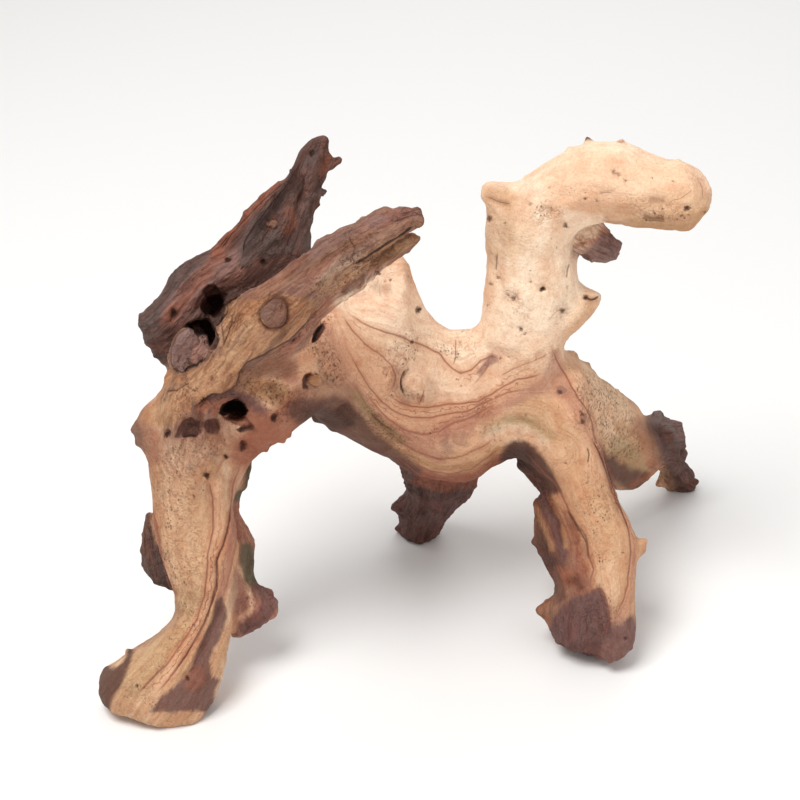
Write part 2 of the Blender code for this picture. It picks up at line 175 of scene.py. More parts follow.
# The wood's tones. The fresh faces of the dark heartwood are rust, and its old ones are violet or grey.
TONES = {
    "cream": ("#FBE2C6", "Palest sapwood, on the saddle, neck and head"),
    "shell": ("#F3D1AF", "Pale sapwood with a little warmth"),
    "peach": ("#E9BB98", "Pink sapwood between the veins"),
    "sand": ("#D9B08A", "Sapwood of the legs"),
    "honey": ("#BD9168", "Yellow-brown wood of the ribbon and the rear limb"),
    "rose": ("#C4907A", "Rosy bands beside the veins"),
    "olive": ("#A8926B", "Grey-green wood in the wet pockets"),
    "rust": ("#A1664E", "Fresh red-brown heartwood"),
    "bark": ("#A27A62", "Worn brown back of the horn"),
    "ash": ("#8F7B78", "Grey-purple flap and stub"),
    "mauve": ("#94726A", "Purple-brown heartwood in the light"),
    "violet": ("#735350", "Purple-brown heartwood"),
    "umber": ("#66483E", "Dark brown heartwood"),
    "slate": ("#665550", "Blue-grey face of the old heartwood"),
    "moss": ("#66604C", "Green-grey wood that stays in the shade"),
    # The darkest tone: the real dark of broken tips and thorn tips, and painted shade in the deepest
    # hollows, holes and grooves
    "char": ("#382823", "Deepest hollows and broken tips"),
}

# The tone that each limb starts from, and the one that its back drifts towards in patches
LIMB_TONES = {
    "trunk": ("peach", "shell"),
    "left_leg": ("sand", "shell"),
    "horn": ("bark", "mauve"),
    "slab": ("umber", "slate"),
    "neck": ("cream", "shell"),
    "head": ("cream", "shell"),
    "rear_limb": ("sand", "honey"),
    "front_leg": ("sand", "peach"),
    # The mid foot stands back under the trunk, and its dark tones are partly painted shade
    "mid_foot": ("violet", "umber"),
    "leg_fin": ("rose", "mauve"),
    "leg_flake": ("slate", "umber"),
    "chin": ("mauve", "ash"),
    "front_strand": ("bark", "rust"),
}

# Washes of tone, laid on in this order: (tone, radius in steps, strength, limbs, middle line).
# A wash with no limbs named reaches every limb under it.
WASHES = (
    ("cream", 34, 0.9, "", ((352, 290), (372, 300), (400, 318), (440, 338), (500, 335), (545, 325))),
    ("shell", 16, 0.6, "", ((345, 320), (385, 345), (425, 362), (470, 384), (540, 350))),
    ("peach", 14, 0.8, "", ((335, 345), (365, 380), (395, 412), (440, 425), (480, 412), (530, 382))),
    ("cream", 12, 0.6, "", ((395, 356), (425, 372), (455, 392), (478, 384))),
    ("rose", 6, 0.5, "", ((352, 385), (372, 412), (400, 434), (435, 440), (470, 428))),
    ("sand", 22, 0.9, "", ((532, 402), (562, 432), (590, 470), (610, 525), (612, 575))),
    ("peach", 10, 0.6, "", ((565, 402), (582, 430), (598, 470))),
    ("olive", 8, 0.35, "", ((486, 428), (502, 419), (528, 421), (548, 436))),
    ("sand", 12, 0.8, "", ((372, 428), (400, 446), (430, 460), (470, 464), (502, 450))),
    ("rose", 8, 0.6, "trunk", ((392, 430), (416, 446), (440, 456))),
    ("rust", 8, 0.85, "trunk", ((368, 452), (402, 470), (440, 484), (476, 480), (508, 456))),
    ("honey", 3, 0.7, "trunk", ((384, 442), (412, 458), (440, 468), (474, 465), (498, 450))),
    ("mauve", 5, 0.5, "trunk", ((446, 430), (444, 442), (450, 450))),
    # Painted shadow down the left side of the mound at (412, 384)
    ("bark", 7, 0.5, "trunk", ((398, 372), (398, 386), (408, 400))),
    ("bark", 5, 0.4, "trunk", ((430, 382), (434, 392), (430, 400))),
    ("bark", 12, 0.7, "trunk", ((352, 396), (366, 420), (384, 440))),
    ("rust", 10, 0.7, "trunk", ((322, 404), (345, 436), (380, 454))),
    ("olive", 5, 0.8, "trunk", ((356, 396), (371, 414), (387, 429), (402, 440))),
    ("sand", 12, 0.7, "trunk", ((326, 350), (334, 362), (338, 376))),
    ("rose", 8, 0.75, "horn trunk", ((326, 300), (312, 318), (296, 338), (284, 352), (284, 366),
        (292, 378))),
    ("peach", 9, 0.8, "trunk horn", ((332, 312), (330, 332), (326, 346))),
    ("bark", 14, 0.9, "trunk horn", ((240, 378), (254, 368), (268, 362), (284, 366))),
    ("honey", 12, 0.85, "trunk horn", ((256, 388), (272, 392), (290, 402))),
    ("rust", 14, 0.9, "trunk horn left_leg", ((205, 402), (225, 400), (252, 412), (266, 430),
        (252, 446))),
    ("violet", 6, 0.8, "trunk horn left_leg", ((212, 396), (232, 394), (252, 402), (262, 412))),
    ("rust", 20, 0.9, "trunk left_leg", ((248, 452), (266, 438), (285, 422), (300, 408))),
    ("rose", 14, 0.5, "trunk", ((322, 332), (334, 352), (340, 378))),
    ("rust", 10, 0.6, "trunk horn left_leg", ((142, 410), (148, 438), (150, 456))),
    ("bark", 26, 1.0, "horn", ((240, 300), (262, 276), (300, 254), (350, 230), (400, 208))),
    # The mauve down the middle of the horn's back is a painted sheen on its worn wood
    ("mauve", 8, 0.55, "horn", ((250, 284), (282, 264), (320, 246), (352, 232), (380, 220))),
    ("mauve", 8, 0.7, "horn", ((376, 222), (400, 213), (424, 211))),
    ("umber", 9, 0.3, "horn", ((290, 272), (312, 262), (340, 250))),
    ("honey", 9, 0.75, "horn", ((322, 292), (346, 276), (372, 260), (400, 244), (418, 234))),
    ("sand", 5, 0.6, "horn", ((330, 290), (356, 274), (384, 258), (406, 246))),
    ("rust", 5, 0.6, "horn", ((322, 304), (340, 292), (360, 280), (376, 270))),
    ("sand", 7, 0.8, "horn trunk", ((228, 302), (225, 320), (224, 340))),
    ("slate", 13, 0.9, "slab", ((146, 335), (150, 312), (188, 270), (216, 244))),
    ("umber", 12, 0.9, "slab", ((160, 345), (176, 322), (186, 300))),
    ("mauve", 16, 0.85, "slab", ((176, 312), (196, 290), (220, 272), (240, 262))),
    ("rust", 8, 0.55, "slab", ((170, 318), (186, 294), (206, 272), (220, 256))),
    ("rust", 6, 0.7, "slab", ((216, 252), (236, 226), (262, 200), (282, 182))),
    ("rose", 4, 0.5, "slab", ((228, 280), (244, 270))),
    ("slate", 14, 0.95, "slab", ((262, 246), (282, 240), (304, 246))),
    ("slate", 9, 0.8, "slab", ((246, 262), (246, 244), (262, 216), (290, 184), (300, 166))),
    # Painted shade down the long groove in the slab
    ("char", 4, 0.55, "slab", ((300, 168), (288, 190), (268, 218), (250, 242), (244, 254))),
    ("umber", 9, 0.8, "slab", ((292, 236), (290, 214), (298, 192), (304, 172))),
    ("rust", 6, 0.55, "slab", ((290, 212), (292, 224), (286, 230))),
    ("mauve", 5, 0.5, "slab", ((306, 206), (304, 190), (308, 172))),
    ("slate", 9, 0.6, "slab", ((318, 138), (311, 158))),
    ("rust", 4, 0.4, "slab", ((330, 150), (322, 172))),
    ("umber", 10, 0.6, "slab", ((226, 292), (244, 280), (262, 270))),
    ("sand", 10, 0.5, "head neck", ((490, 192), (506, 200))),
    ("shell", 30, 0.7, "head", ((560, 200), (600, 176), (650, 180), (690, 196))),
    ("peach", 40, 0.3, "head", ((580, 205), (640, 190), (690, 190))),
    ("peach", 12, 0.4, "head neck", ((560, 214), (590, 208), (620, 208))),
    # Painted shade along the underside of the head
    ("honey", 6, 0.6, "head", ((644, 226), (672, 230), (694, 228), (706, 212))),
    ("rose", 3, 0.6, "head", ((700, 180), (705, 198))),
    # Painted shade under the head's lower edge and in the crease on its underside
    ("mauve", 3, 0.7, "head", ((604, 221), (616, 222), (628, 223))),
    ("bark", 3, 0.8, "head", ((644, 217), (662, 220))),
    ("char", 3.5, 0.9, "head", ((586, 137), (589, 137))),
    ("rust", 2.5, 0.7, "head", ((619, 141), (622, 141))),
    ("shell", 12, 0.7, "neck", ((590, 300), (580, 322))),
    ("rust", 3, 0.5, "neck", ((586, 298), (596, 300))),
    ("cream", 14, 1.0, "chin", ((576, 216), (588, 226), (578, 238))),
    ("rust", 2.5, 0.7, "chin", ((604, 222), (604, 230), (597, 238), (585, 243), (575, 246))),
    ("shell", 24, 0.8, "rear_limb", ((575, 365), (600, 395), (620, 425))),
    ("bark", 4, 0.6, "rear_limb", ((572, 352), (590, 362), (612, 380), (640, 404))),
    ("olive", 10, 0.6, "rear_limb", ((618, 446), (634, 458), (640, 472))),
    ("honey", 8, 0.6, "rear_limb", ((622, 430), (640, 444))),
    ("rust", 8, 0.5, "rear_limb", ((636, 424), (646, 440), (652, 462))),
    ("umber", 22, 1.0, "rear_limb", ((664, 424), (676, 446), (690, 486))),
    ("slate", 6, 0.6, "rear_limb", ((658, 418), (672, 426), (680, 440))),
    ("violet", 5, 0.6, "rear_limb", ((662, 440), (670, 462), (684, 478))),
    ("umber", 12, 0.95, "rear_limb", ((602, 462), (618, 474), (640, 482))),
    ("ash", 8, 0.6, "rear_limb", ((655, 416), (672, 424), (682, 434))),
    ("rust", 5, 0.6, "rear_limb", ((634, 484), (652, 474), (658, 462))),
    ("umber", 10, 0.9, "front_strand", ((512, 450), (528, 470), (542, 484))),
    ("moss", 5, 0.4, "front_strand", ((514, 450), (524, 462))),
    ("umber", 14, 0.7, "front_strand", ((538, 500), (546, 530), (556, 560))),
    ("violet", 6, 0.8, "front_strand", ((541, 490), (550, 506), (558, 530), (562, 556))),
    ("honey", 3, 0.8, "front_strand", ((548, 490), (556, 506), (564, 526), (566, 546))),
    ("rust", 4, 0.7, "front_strand", ((556, 486), (566, 510), (574, 532), (578, 556))),
    ("honey", 3, 0.7, "front_strand", ((534, 506), (544, 526), (552, 548))),
    ("umber", 7, 0.9, "front_strand", ((534, 540), (542, 552), (552, 566))),
    ("rust", 8, 0.7, "front_strand", ((556, 572), (572, 578), (584, 570))),
    ("umber", 7, 0.7, "front_strand", ((546, 560), (556, 584), (562, 600))),
    ("bark", 6, 0.9, "front_strand", ((540, 610), (556, 613), (580, 600))),
    ("mauve", 14, 0.7, "front_leg", ((614, 634), (628, 630))),
    ("shell", 16, 0.45, "left_leg", ((176, 470), (176, 510), (182, 560), (190, 600))),
    ("honey", 22, 0.35, "left_leg", ((172, 470), (176, 530), (184, 600))),
    ("olive", 22, 0.35, "left_leg", ((190, 610), (165, 648), (130, 680))),
    ("bark", 5, 0.5, "left_leg", ((160, 590), (176, 606), (172, 622), (150, 640), (130, 650))),
    ("honey", 8, 0.7, "left_leg", ((203, 456), (213, 466), (206, 474))),
    ("peach", 6, 0.7, "left_leg", ((217, 484), (221, 530), (213, 570), (208, 600), (190, 640),
        (160, 684))),
    ("sand", 8, 0.9, "leg_fin left_leg", ((226, 632), (220, 655), (214, 670))),
    ("rose", 10, 0.8, "leg_fin", ((240, 520), (248, 534), (244, 560), (240, 600))),
    ("violet", 9, 0.9, "leg_fin", ((258, 584), (272, 600), (262, 618), (244, 628))),
    ("mauve", 6, 0.6, "leg_fin", ((262, 592), (274, 602))),
    ("shell", 2.5, 0.8, "leg_fin", ((238, 566), (246, 580), (251, 598), (250, 612), (240, 618))),
    ("moss", 10, 0.95, "leg_fin", ((248, 462), (243, 478), (238, 494))),
    ("moss", 9, 0.95, "leg_fin", ((246, 550), (250, 566), (251, 578))),
    ("rust", 4, 0.6, "left_leg", ((150, 508), (158, 540), (164, 578), (174, 592))),
    ("sand", 3, 0.8, "leg_flake", ((151, 514), (156, 528), (158, 540))),
    ("rust", 6, 0.5, "mid_foot", ((430, 490), (450, 484), (472, 478))),
    ("slate", 10, 0.4, "mid_foot", ((408, 486), (416, 512))),
    # Painted shade on the mid foot under the trunk's lower edge
    ("char", 12, 0.55, "mid_foot", ((415, 482), (440, 490), (466, 480))),
)

# Areas of tone with an edge of their own: (tone, strength, softness of the edge in steps, outline)
AREAS = (
    ("cream", 0.7, 8, ((346, 300), (366, 296), (400, 312), (430, 330), (470, 340), (520, 336),
        (552, 330), (548, 346), (500, 354), (474, 366), (452, 352), (420, 340), (390, 330),
        (364, 318))),
    ("cream", 0.35, 6, ((400, 344), (440, 360), (470, 382), (510, 378), (480, 396), (430, 402),
        (404, 398), (398, 372))),
    ("cream", 0.8, 6, ((385, 266), (402, 270), (418, 298), (436, 320), (470, 330), (470, 352),
        (430, 346), (404, 334), (388, 306))),
    ("bark", 0.75, 6, ((292, 392), (302, 382), (330, 376), (350, 384), (358, 402), (334, 404),
        (300, 404))),
    ("shell", 0.5, 6, ((160, 446), (184, 442), (210, 444), (206, 462), (184, 468), (164, 466))),
    ("rust", 0.7, 4, ((392, 454), (420, 468), (450, 475), (476, 468), (500, 452), (506, 462),
        (480, 488), (440, 492), (408, 482))),
    ("sand", 0.7, 5, ((600, 300), (594, 318), (574, 338), (557, 350), (562, 332), (580, 314),
        (590, 300))),
    ("sand", 0.5, 8, ((504, 192), (524, 190), (536, 206), (534, 246), (514, 262), (506, 236))),
    # Painted shade in a band under the head
    ("bark", 0.7, 3, ((604, 220), (640, 225), (664, 227), (700, 223), (712, 214), (710, 236),
        (640, 242), (604, 232))),
    ("umber", 0.85, 4, ((286, 404), (300, 398), (318, 400), (334, 395), (348, 400), (360, 413),
        (372, 430), (388, 443), (404, 455), (424, 470), (410, 484), (380, 466), (350, 446), (320, 432),
        (300, 428), (288, 416))),
    ("char", 0.55, 4, ((300, 410), (320, 405), (340, 408), (354, 424), (334, 432), (306, 424))),
    # Under the crest of the trunk's arch: the dark strand's own umber, with painted shade of the arch's
    # underside
    ("umber", 0.95, 2, ((498, 460), (505, 446), (513, 441), (526, 441), (538, 450), (548, 464),
        (556, 478), (562, 492), (548, 496), (530, 484), (512, 472))),
    ("char", 0.5, 3, ((502, 456), (512, 445), (526, 446), (536, 456), (530, 470), (514, 466))),
    ("honey", 0.5, 7, ((482, 188), (500, 184), (516, 198), (514, 236), (505, 262), (486, 262),
        (482, 226))),
    ("sand", 0.65, 8, ((596, 206), (640, 194), (690, 186), (714, 196), (708, 234), (640, 238),
        (600, 228))),
    ("honey", 0.5, 5, ((626, 217), (660, 213), (698, 206), (712, 212), (704, 236), (640, 238))),
    ("cream", 0.8, 2, ((556, 205), (580, 212), (606, 216), (605, 226), (600, 236), (591, 242),
        (576, 245), (564, 240))),
    ("rose", 0.7, 1.5, ((575, 247), (591, 244), (602, 237), (607, 226), (608, 216), (604, 216),
        (601, 228), (594, 238), (584, 242), (575, 243))),
    ("bark", 0.75, 4, ((126, 404), (142, 406), (151, 424), (151, 452), (140, 458), (124, 440))),
    ("umber", 0.6, 2, ((126, 420), (136, 418), (142, 430), (143, 448), (132, 448))),
    ("honey", 0.75, 3, ((164, 367), (174, 372), (185, 374), (200, 367), (213, 359), (220, 349),
        (224, 338), (226, 327), (224, 314), (228, 303), (237, 297), (252, 302), (265, 297), (283, 295),
        (311, 298), (322, 303), (312, 313), (303, 326), (289, 340), (278, 346), (262, 355), (248, 362),
        (239, 373), (238, 381), (223, 394), (213, 393), (200, 402), (187, 412), (170, 428), (150, 424),
        (140, 420), (146, 408), (156, 398), (163, 384))),
    ("sand", 0.45, 4, ((222, 352), (236, 330), (250, 316), (258, 330), (284, 334), (262, 350),
        (240, 366), (222, 384), (196, 398), (168, 416), (150, 416), (160, 396), (182, 384),
        (206, 370))),
    ("rose", 0.4, 3, ((551, 350), (545, 370), (533, 382), (518, 391), (500, 402), (478, 412),
        (452, 420), (436, 428), (440, 436), (462, 430), (486, 422), (505, 411), (522, 401), (540, 396),
        (556, 398), (568, 408), (578, 424), (590, 444), (595, 440), (590, 420), (580, 402), (571, 384),
        (564, 366), (558, 350))),
    ("rose", 0.35, 4, ((540, 376), (518, 388), (498, 400), (470, 410), (440, 422), (420, 428),
        (436, 440), (462, 430), (486, 420), (508, 410), (530, 396), (556, 390))),
    ("mauve", 0.2, 3, ((551, 350), (548, 366), (540, 380), (522, 392), (504, 404), (510, 408),
        (530, 396), (552, 390), (566, 398), (580, 416), (572, 394), (562, 370), (558, 350))),
    ("olive", 0.5, 2.5, ((484, 436), (490, 426), (504, 417), (524, 416), (540, 424), (550, 438),
        (544, 440), (528, 430), (506, 428))),
    ("cream", 0.4, 1.5, ((480, 442), (488, 430), (502, 423), (520, 421), (536, 427), (548, 440),
        (552, 450), (540, 444), (528, 434), (508, 431), (492, 438))),
    ("mauve", 0.75, 1.6, ((496, 356), (492, 352), (486, 358), (476, 372), (480, 376), (490, 366),
        (499, 361))),
    ("rose", 0.5, 2, ((597, 446), (606, 470), (616, 490), (625, 507), (633, 524), (634, 540),
        (632, 560), (630, 590), (622, 606), (612, 620), (618, 626), (632, 606), (637, 570), (638, 540),
        (634, 516), (620, 492), (606, 464), (600, 446))),
    ("mauve", 0.25, 1.5, ((595, 440), (604, 462), (614, 484), (624, 504), (632, 522), (636, 520),
        (626, 500), (612, 474), (600, 446))),
    ("violet", 0.95, 1.6, ((576, 597), (590, 592), (599, 587), (606, 595), (610, 610), (611, 624),
        (614, 629), (622, 625), (630, 614), (636, 625), (634, 668), (560, 668), (548, 640), (552, 622),
        (560, 606))),
    ("mauve", 0.55, 3, ((612, 632), (622, 626), (636, 612), (636, 668), (604, 668), (598, 650))),
    ("shell", 0.4, 3, ((590, 575), (600, 560), (616, 560), (622, 580), (616, 604), (612, 616),
        (608, 598), (600, 586))),
    ("violet", 0.9, 1.4, ((215, 602), (212, 620), (204, 635), (197, 650), (192, 662), (189, 675),
        (175, 685), (160, 698), (150, 712), (214, 712), (214, 692), (220, 680), (214, 677), (209, 669),
        (209, 662), (213, 652), (220, 638), (227, 618), (225, 604), (222, 594))),
    ("rose", 0.8, 1.8, ((232, 500), (237, 512), (238, 528), (236, 548), (230, 572), (226, 598),
        (222, 596), (215, 602), (220, 578), (225, 555), (227, 535), (229, 518))),
    ("mauve", 0.45, 3, ((234, 566), (240, 576), (248, 596), (246, 612), (234, 618), (228, 606),
        (230, 586))),
    ("umber", 0.95, 1.6, ((90, 712), (94, 672), (105, 664), (115, 668), (122, 663), (128, 648),
        (134, 646), (132, 660), (126, 675), (118, 688), (112, 700), (110, 712))),
    ("rust", 0.5, 2, ((186, 676), (196, 664), (204, 668), (206, 682), (196, 690), (184, 688))),
)

# Thin dark lines where the surface cuts a growth layer: (level of the layer, strength, line). Levels
# rise from the crown of the trunk to the inside of its arch.
VEINS = (
    (1.0, 0.9, ((347, 312), (364, 324), (382, 331), (399, 336), (411, 341), (426, 347), (440, 354),
        (449, 366), (461, 374), (471, 370), (480, 361), (492, 356), (499, 359))),
    (1.2, 0.6, ((476, 383), (483, 373), (492, 360))),
    (2.0, 0.8, ((344, 318), (352, 330), (366, 345), (382, 356), (392, 366), (396, 376), (393, 388))),
    (2.0, 0.9, ((390, 396), (399, 402), (411, 406), (428, 408), (450, 404), (468, 403), (478, 402),
        (490, 395), (504, 386), (516, 380), (528, 378), (542, 374))),
    (3.0, 0.8, ((347, 347), (359, 371), (370, 388), (382, 402), (395, 412), (411, 417), (428, 418),
        (447, 414), (466, 412), (481, 405), (495, 398), (509, 392), (525, 390))),
    (4.0, 0.7, ((364, 390), (375, 405), (388, 419), (404, 429), (423, 435), (440, 431), (454, 422),
        (468, 419), (480, 412), (494, 405))),
    (4.5, 0.5, ((354, 383), (364, 402), (380, 422), (395, 433), (413, 440))),
    (5.0, 0.7, ((370, 414), (387, 430), (404, 445), (420, 453), (440, 460), (461, 457), (481, 447),
        (495, 438))),
    (6.0, 0.7, ((395, 450), (413, 463), (430, 471), (450, 474), (471, 469), (485, 459), (499, 449))),
    (7.0, 0.8, ((400, 460), (425, 480), (455, 486), (480, 478), (502, 460))),
    (2.6, 1.0, ((552, 347), (556, 360), (566, 376), (576, 395), (587, 410), (592, 422), (594, 437),
        (600, 454), (607, 475), (614, 498), (625, 518), (630, 536), (631, 552), (629, 568), (628, 584),
        (623, 602), (614, 618))),
    (2.1, 0.8, ((597, 438), (603, 452), (611, 474), (618, 496), (629, 515), (635, 534))),
    (5.2, 0.9, ((528, 454), (539, 468), (554, 482), (562, 495), (568, 509), (577, 525), (586, 536),
        (589, 554), (593, 570), (589, 588))),
    (7.0, 0.8, ((546, 488), (548, 500), (557, 511), (566, 529), (571, 543), (568, 561))),
    (6.2, 0.7, ((559, 488), (564, 500), (571, 518), (575, 530))),
    (8.0, 0.6, ((535, 500), (546, 520), (554, 540), (559, 560))),
    (4.4, 0.8, ((590, 592), (602, 589), (607, 604), (609, 620), (606, 634))),
    (5.0, 1.0, ((208, 477), (213, 500), (213, 530), (208, 553), (207, 573), (204, 598), (197, 619),
        (186, 637), (169, 662), (149, 682), (138, 694))),
    (6.0, 1.0, ((242, 460), (233, 485), (231, 505), (229, 526), (224, 544), (217, 562), (218, 578),
        (213, 596), (208, 616), (197, 639), (183, 660), (170, 678), (156, 694))),
    (2.0, 0.8, ((153, 509), (159, 537), (161, 555), (167, 580), (172, 592))),
    (7.0, 0.6, ((238, 520), (236, 545), (230, 570), (226, 590))),
    (1.7, 0.6, ((500, 376), (515, 368), (532, 362), (548, 354))),
)

# Lines that the layers follow where no vein shows: (level, line)
FLOWS = (
    (0.0, ((350, 295), (380, 312), (410, 330), (450, 345), (490, 340), (520, 345), (548, 345))),
    (-1.0, ((385, 275), (400, 305), (425, 325))),
    (4.0, ((158, 440), (170, 500), (178, 560), (186, 600), (160, 645), (120, 690))),
    (3.0, ((150, 450), (160, 480))),
    (4.5, ((190, 470), (195, 530), (195, 590), (178, 630), (140, 680))),
    (8.0, ((240, 600), (225, 640), (205, 680))),
    (4.0, ((556, 430), (580, 470), (600, 530), (603, 570))),
    (4.5, ((535, 440), (560, 470), (580, 510), (597, 560), (597, 600))),
    (5.5, ((500, 424), (520, 420), (540, 430), (558, 452))),
    (-1.5, ((492, 330), (492, 290), (494, 250), (500, 212))),
    (-2.5, ((520, 335), (522, 290), (524, 250), (532, 222), (560, 200), (620, 185), (690, 195))),
    (-3.5, ((545, 330), (550, 290), (552, 250), (562, 226), (600, 212), (650, 215), (690, 220))),
    (-2.5, ((570, 330), (568, 290), (572, 255))),
    (-1.5, ((510, 195), (540, 175), (580, 155), (620, 150), (660, 165), (700, 180))),
    (1.0, ((570, 352), (600, 380), (640, 412), (668, 425))),
    (0.0, ((580, 358), (610, 380), (650, 412))),
    (2.0, ((600, 420), (625, 450), (650, 462), (672, 472), (690, 486))),
    (3.0, ((598, 450), (612, 478), (640, 484))),
    (4.0, ((165, 412), (195, 392), (222, 376), (245, 352), (270, 334), (300, 312))),
    (3.0, ((160, 400), (190, 380), (216, 356), (232, 330), (250, 306), (290, 288), (330, 268),
        (370, 250), (410, 234))),
    (2.0, ((228, 320), (245, 298), (280, 272), (320, 250), (360, 228), (400, 212))),
    (1.0, ((262, 272), (300, 254), (350, 226), (384, 208))),
    (5.0, ((262, 362), (290, 345), (322, 312), (350, 288))),
    (5.6, ((225, 400), (250, 380), (268, 372), (290, 366))),
    (6.5, ((222, 440), (262, 440), (300, 415), (330, 400))),
    (-2.0, ((150, 312), (190, 268), (215, 244), (262, 200), (300, 146), (318, 136))),
    (-1.0, ((150, 328), (190, 288), (225, 255), (262, 224), (296, 170), (314, 145))),
    (0.0, ((160, 345), (200, 305), (240, 275), (275, 246), (300, 200), (318, 160))),
    (7.0, ((415, 455), (420, 490), (414, 530))),
    (8.0, ((440, 480), (440, 510), (428, 534))),
    (9.0, ((470, 470), (462, 490), (445, 515))),
)

# Open cracks and creases, and a line under the flap's edge: (strength, line). The dark drawn along them is
# painted shade in the cracks and creases, and the line from (183, 372) to (206, 358) is a painted shadow
# under the flap
CRACKS = (
    (1.0, ((353, 265), (367, 257), (383, 246), (399, 236), (415, 226))),
    (0.45, ((350, 236), (351, 242), (355, 248), (352, 256), (354, 263), (352, 273))),
    (0.6, ((236, 309), (232, 318), (231, 326), (227, 336), (223, 347))),
    (0.45, ((241, 314), (238, 320), (237, 327), (234, 334))),
    (1.0, ((322, 325), (316, 333), (313, 343))),
    (1.0, ((183, 372), (190, 367), (197, 365), (206, 358))),
    (0.6, ((167, 392), (177, 390), (191, 382))),
    (0.4, ((404, 371), (401, 377), (401, 386), (405, 392))),
    (0.5, ((456, 339), (456, 352), (454, 364))),
    (0.7, ((304, 157), (288, 184), (272, 204), (253, 228), (245, 242), (243, 254))),
    (0.6, ((284, 182), (268, 196), (241, 224), (220, 250))),
    (0.5, ((497, 254), (497, 264), (496, 271))),
    (0.6, ((569, 264), (567, 272), (567, 279))),
    (0.8, ((584, 297), (591, 300), (599, 296))),
    (0.6, ((587, 448), (589, 455), (588, 463))),
    (1.0, ((182, 437), (190, 435), (197, 436))),
    (0.5, ((400, 214), (412, 211), (422, 209))),
    (0.5, ((392, 222), (408, 217), (424, 214))),
    (0.5, ((420, 402), (423, 395), (424, 389))),
    (0.6, ((296, 206), (303, 192), (304, 178))),
    (0.5, ((371, 414), (382, 424), (392, 430))),
    (0.3, ((612, 171), (616, 174), (620, 173))),
    (0.3, ((623, 178), (625, 180), (628, 181))),
    (0.3, ((671, 201), (680, 199), (688, 194), (692, 190))),
    (0.35, ((641, 218), (650, 221), (658, 220), (664, 222))),
    (0.3, ((599, 194), (606, 192), (612, 193))),
    (0.3, ((489, 197), (498, 202), (511, 204))),
    (0.3, ((503, 292), (508, 290), (515, 294), (519, 300))),
    (0.3, ((548, 320), (556, 312), (566, 308))),
    (0.4, ((699, 181), (703, 190), (703, 199))),
)

# The raised lip of the pale ribbon over the dark wood, and other edges that stand over their right
# side as the line runs: (height in mm, width in steps, line)
LIPS = (
    (3.0, 9, ((190, 410), (200, 402), (213, 393), (223, 394), (236, 385), (239, 373), (246, 362),
        (262, 355), (275, 347), (289, 340), (303, 326), (312, 313), (323, 306))),
    (1.6, 6, ((224, 345), (221, 325), (223, 307), (232, 299), (242, 295))),
    (1.5, 7, ((406, 398), (401, 390), (400, 380), (404, 371), (410, 368))),
    (1.5, 6, ((592, 438), (600, 454), (610, 478), (620, 506), (630, 532))),
    (0.8, 5, ((566, 508), (577, 525), (586, 540), (590, 560))),
    (1.6, 5, ((231, 505), (229, 526), (224, 544), (217, 562), (217, 590), (206, 620), (190, 650),
        (172, 678))),
)

# Ridges and, with a negative height, furrows: (height in mm, half width in steps, line)
RIDGES = (
    (1.5, 4, ((227, 300), (223, 320), (222, 342))),
    (-3.0, 6, ((300, 165), (286, 190), (266, 216), (248, 240))),
    (2.0, 5, ((276, 186), (254, 210), (232, 234), (208, 256))),
    (-2.0, 5, ((258, 262), (272, 246), (292, 240))),
    (1.6, 4, ((292, 258), (282, 238), (286, 216), (296, 198))),
    (-2.0, 5, ((306, 208), (300, 192), (304, 176))),
    (-0.5, 4, ((340, 284), (366, 268), (398, 246), (418, 232))),
    (1.2, 4, ((330, 268), (362, 250), (398, 228), (424, 214))),
    (-1.0, 3, ((390, 222), (408, 214), (424, 210))),
    (-1.0, 3, ((396, 230), (412, 223), (424, 219))),
    (-2.2, 6, ((206, 410), (196, 424), (180, 434))),
    (-2.2, 6, ((222, 424), (210, 424), (200, 430))),
    (1.6, 4, ((205, 406), (208, 420), (206, 434))),
    (1.8, 5, ((224, 424), (236, 422), (252, 428))),
    (-1.6, 5, ((236, 430), (250, 428), (258, 434))),
    (-1.8, 7, ((268, 380), (276, 392), (270, 402))),
    (-1.5, 5, ((318, 352), (322, 372), (334, 380))),
    (-2.5, 9, ((338, 405), (350, 418), (352, 432))),
    (-1.6, 8, ((368, 284), (384, 290), (394, 286))),
    (-1.2, 6, ((480, 345), (500, 352), (530, 350))),
    (1.2, 5, ((553, 348), (560, 366), (574, 386), (588, 414))),
    (-1.2, 5, ((500, 424), (520, 418), (540, 428))),
    (1.0, 5, ((480, 436), (504, 426), (534, 430), (556, 448))),
    (-1.8, 5, ((541, 486), (552, 508), (560, 530), (566, 556))),
    (1.6, 4, ((552, 486), (560, 506), (568, 528), (575, 552))),
    (-1.6, 4, ((530, 500), (536, 530), (548, 556), (558, 574))),
    (-2.0, 6, ((560, 585), (575, 580), (586, 592))),
    (-2.0, 5, ((222, 585), (219, 612), (206, 642), (190, 670), (172, 692))),
    (1.6, 4, ((238, 570), (246, 592), (252, 612))),
    (-1.6, 4, ((246, 575), (254, 595), (262, 604))),
    (-1.6, 5, ((238, 500), (236, 525), (244, 545))),
    (-1.5, 5, ((652, 424), (664, 436), (668, 456))),
    (1.5, 4, ((650, 414), (668, 422), (678, 440))),
    (-2.0, 6, ((418, 484), (426, 504), (422, 522))),
    (1.6, 5, ((436, 484), (440, 500), (430, 520))),
    (-1.4, 4, ((482, 196), (494, 201), (512, 204))),
    (1.2, 4, ((486, 189), (500, 187), (510, 190))),
    (-1.2, 6, ((610, 172), (622, 176))),
    (-1.0, 4, ((648, 199), (666, 201))),
    (1.0, 3, ((666, 204), (682, 198), (693, 190))),
    (-1.2, 5, ((499, 299), (522, 295))),
    (1.4, 5, ((546, 319), (562, 311))),
    (-1.2, 5, ((560, 318), (572, 306))),
    (-1.0, 5, ((598, 194), (614, 197))),
    (-1.2, 6, ((538, 208), (558, 214))),
    (-1.4, 5, ((640, 217), (666, 221))),
    (-1.0, 5, ((640, 200), (668, 204), (692, 190))),
    (-1.2, 4, ((585, 302), (592, 304), (600, 298))),
)

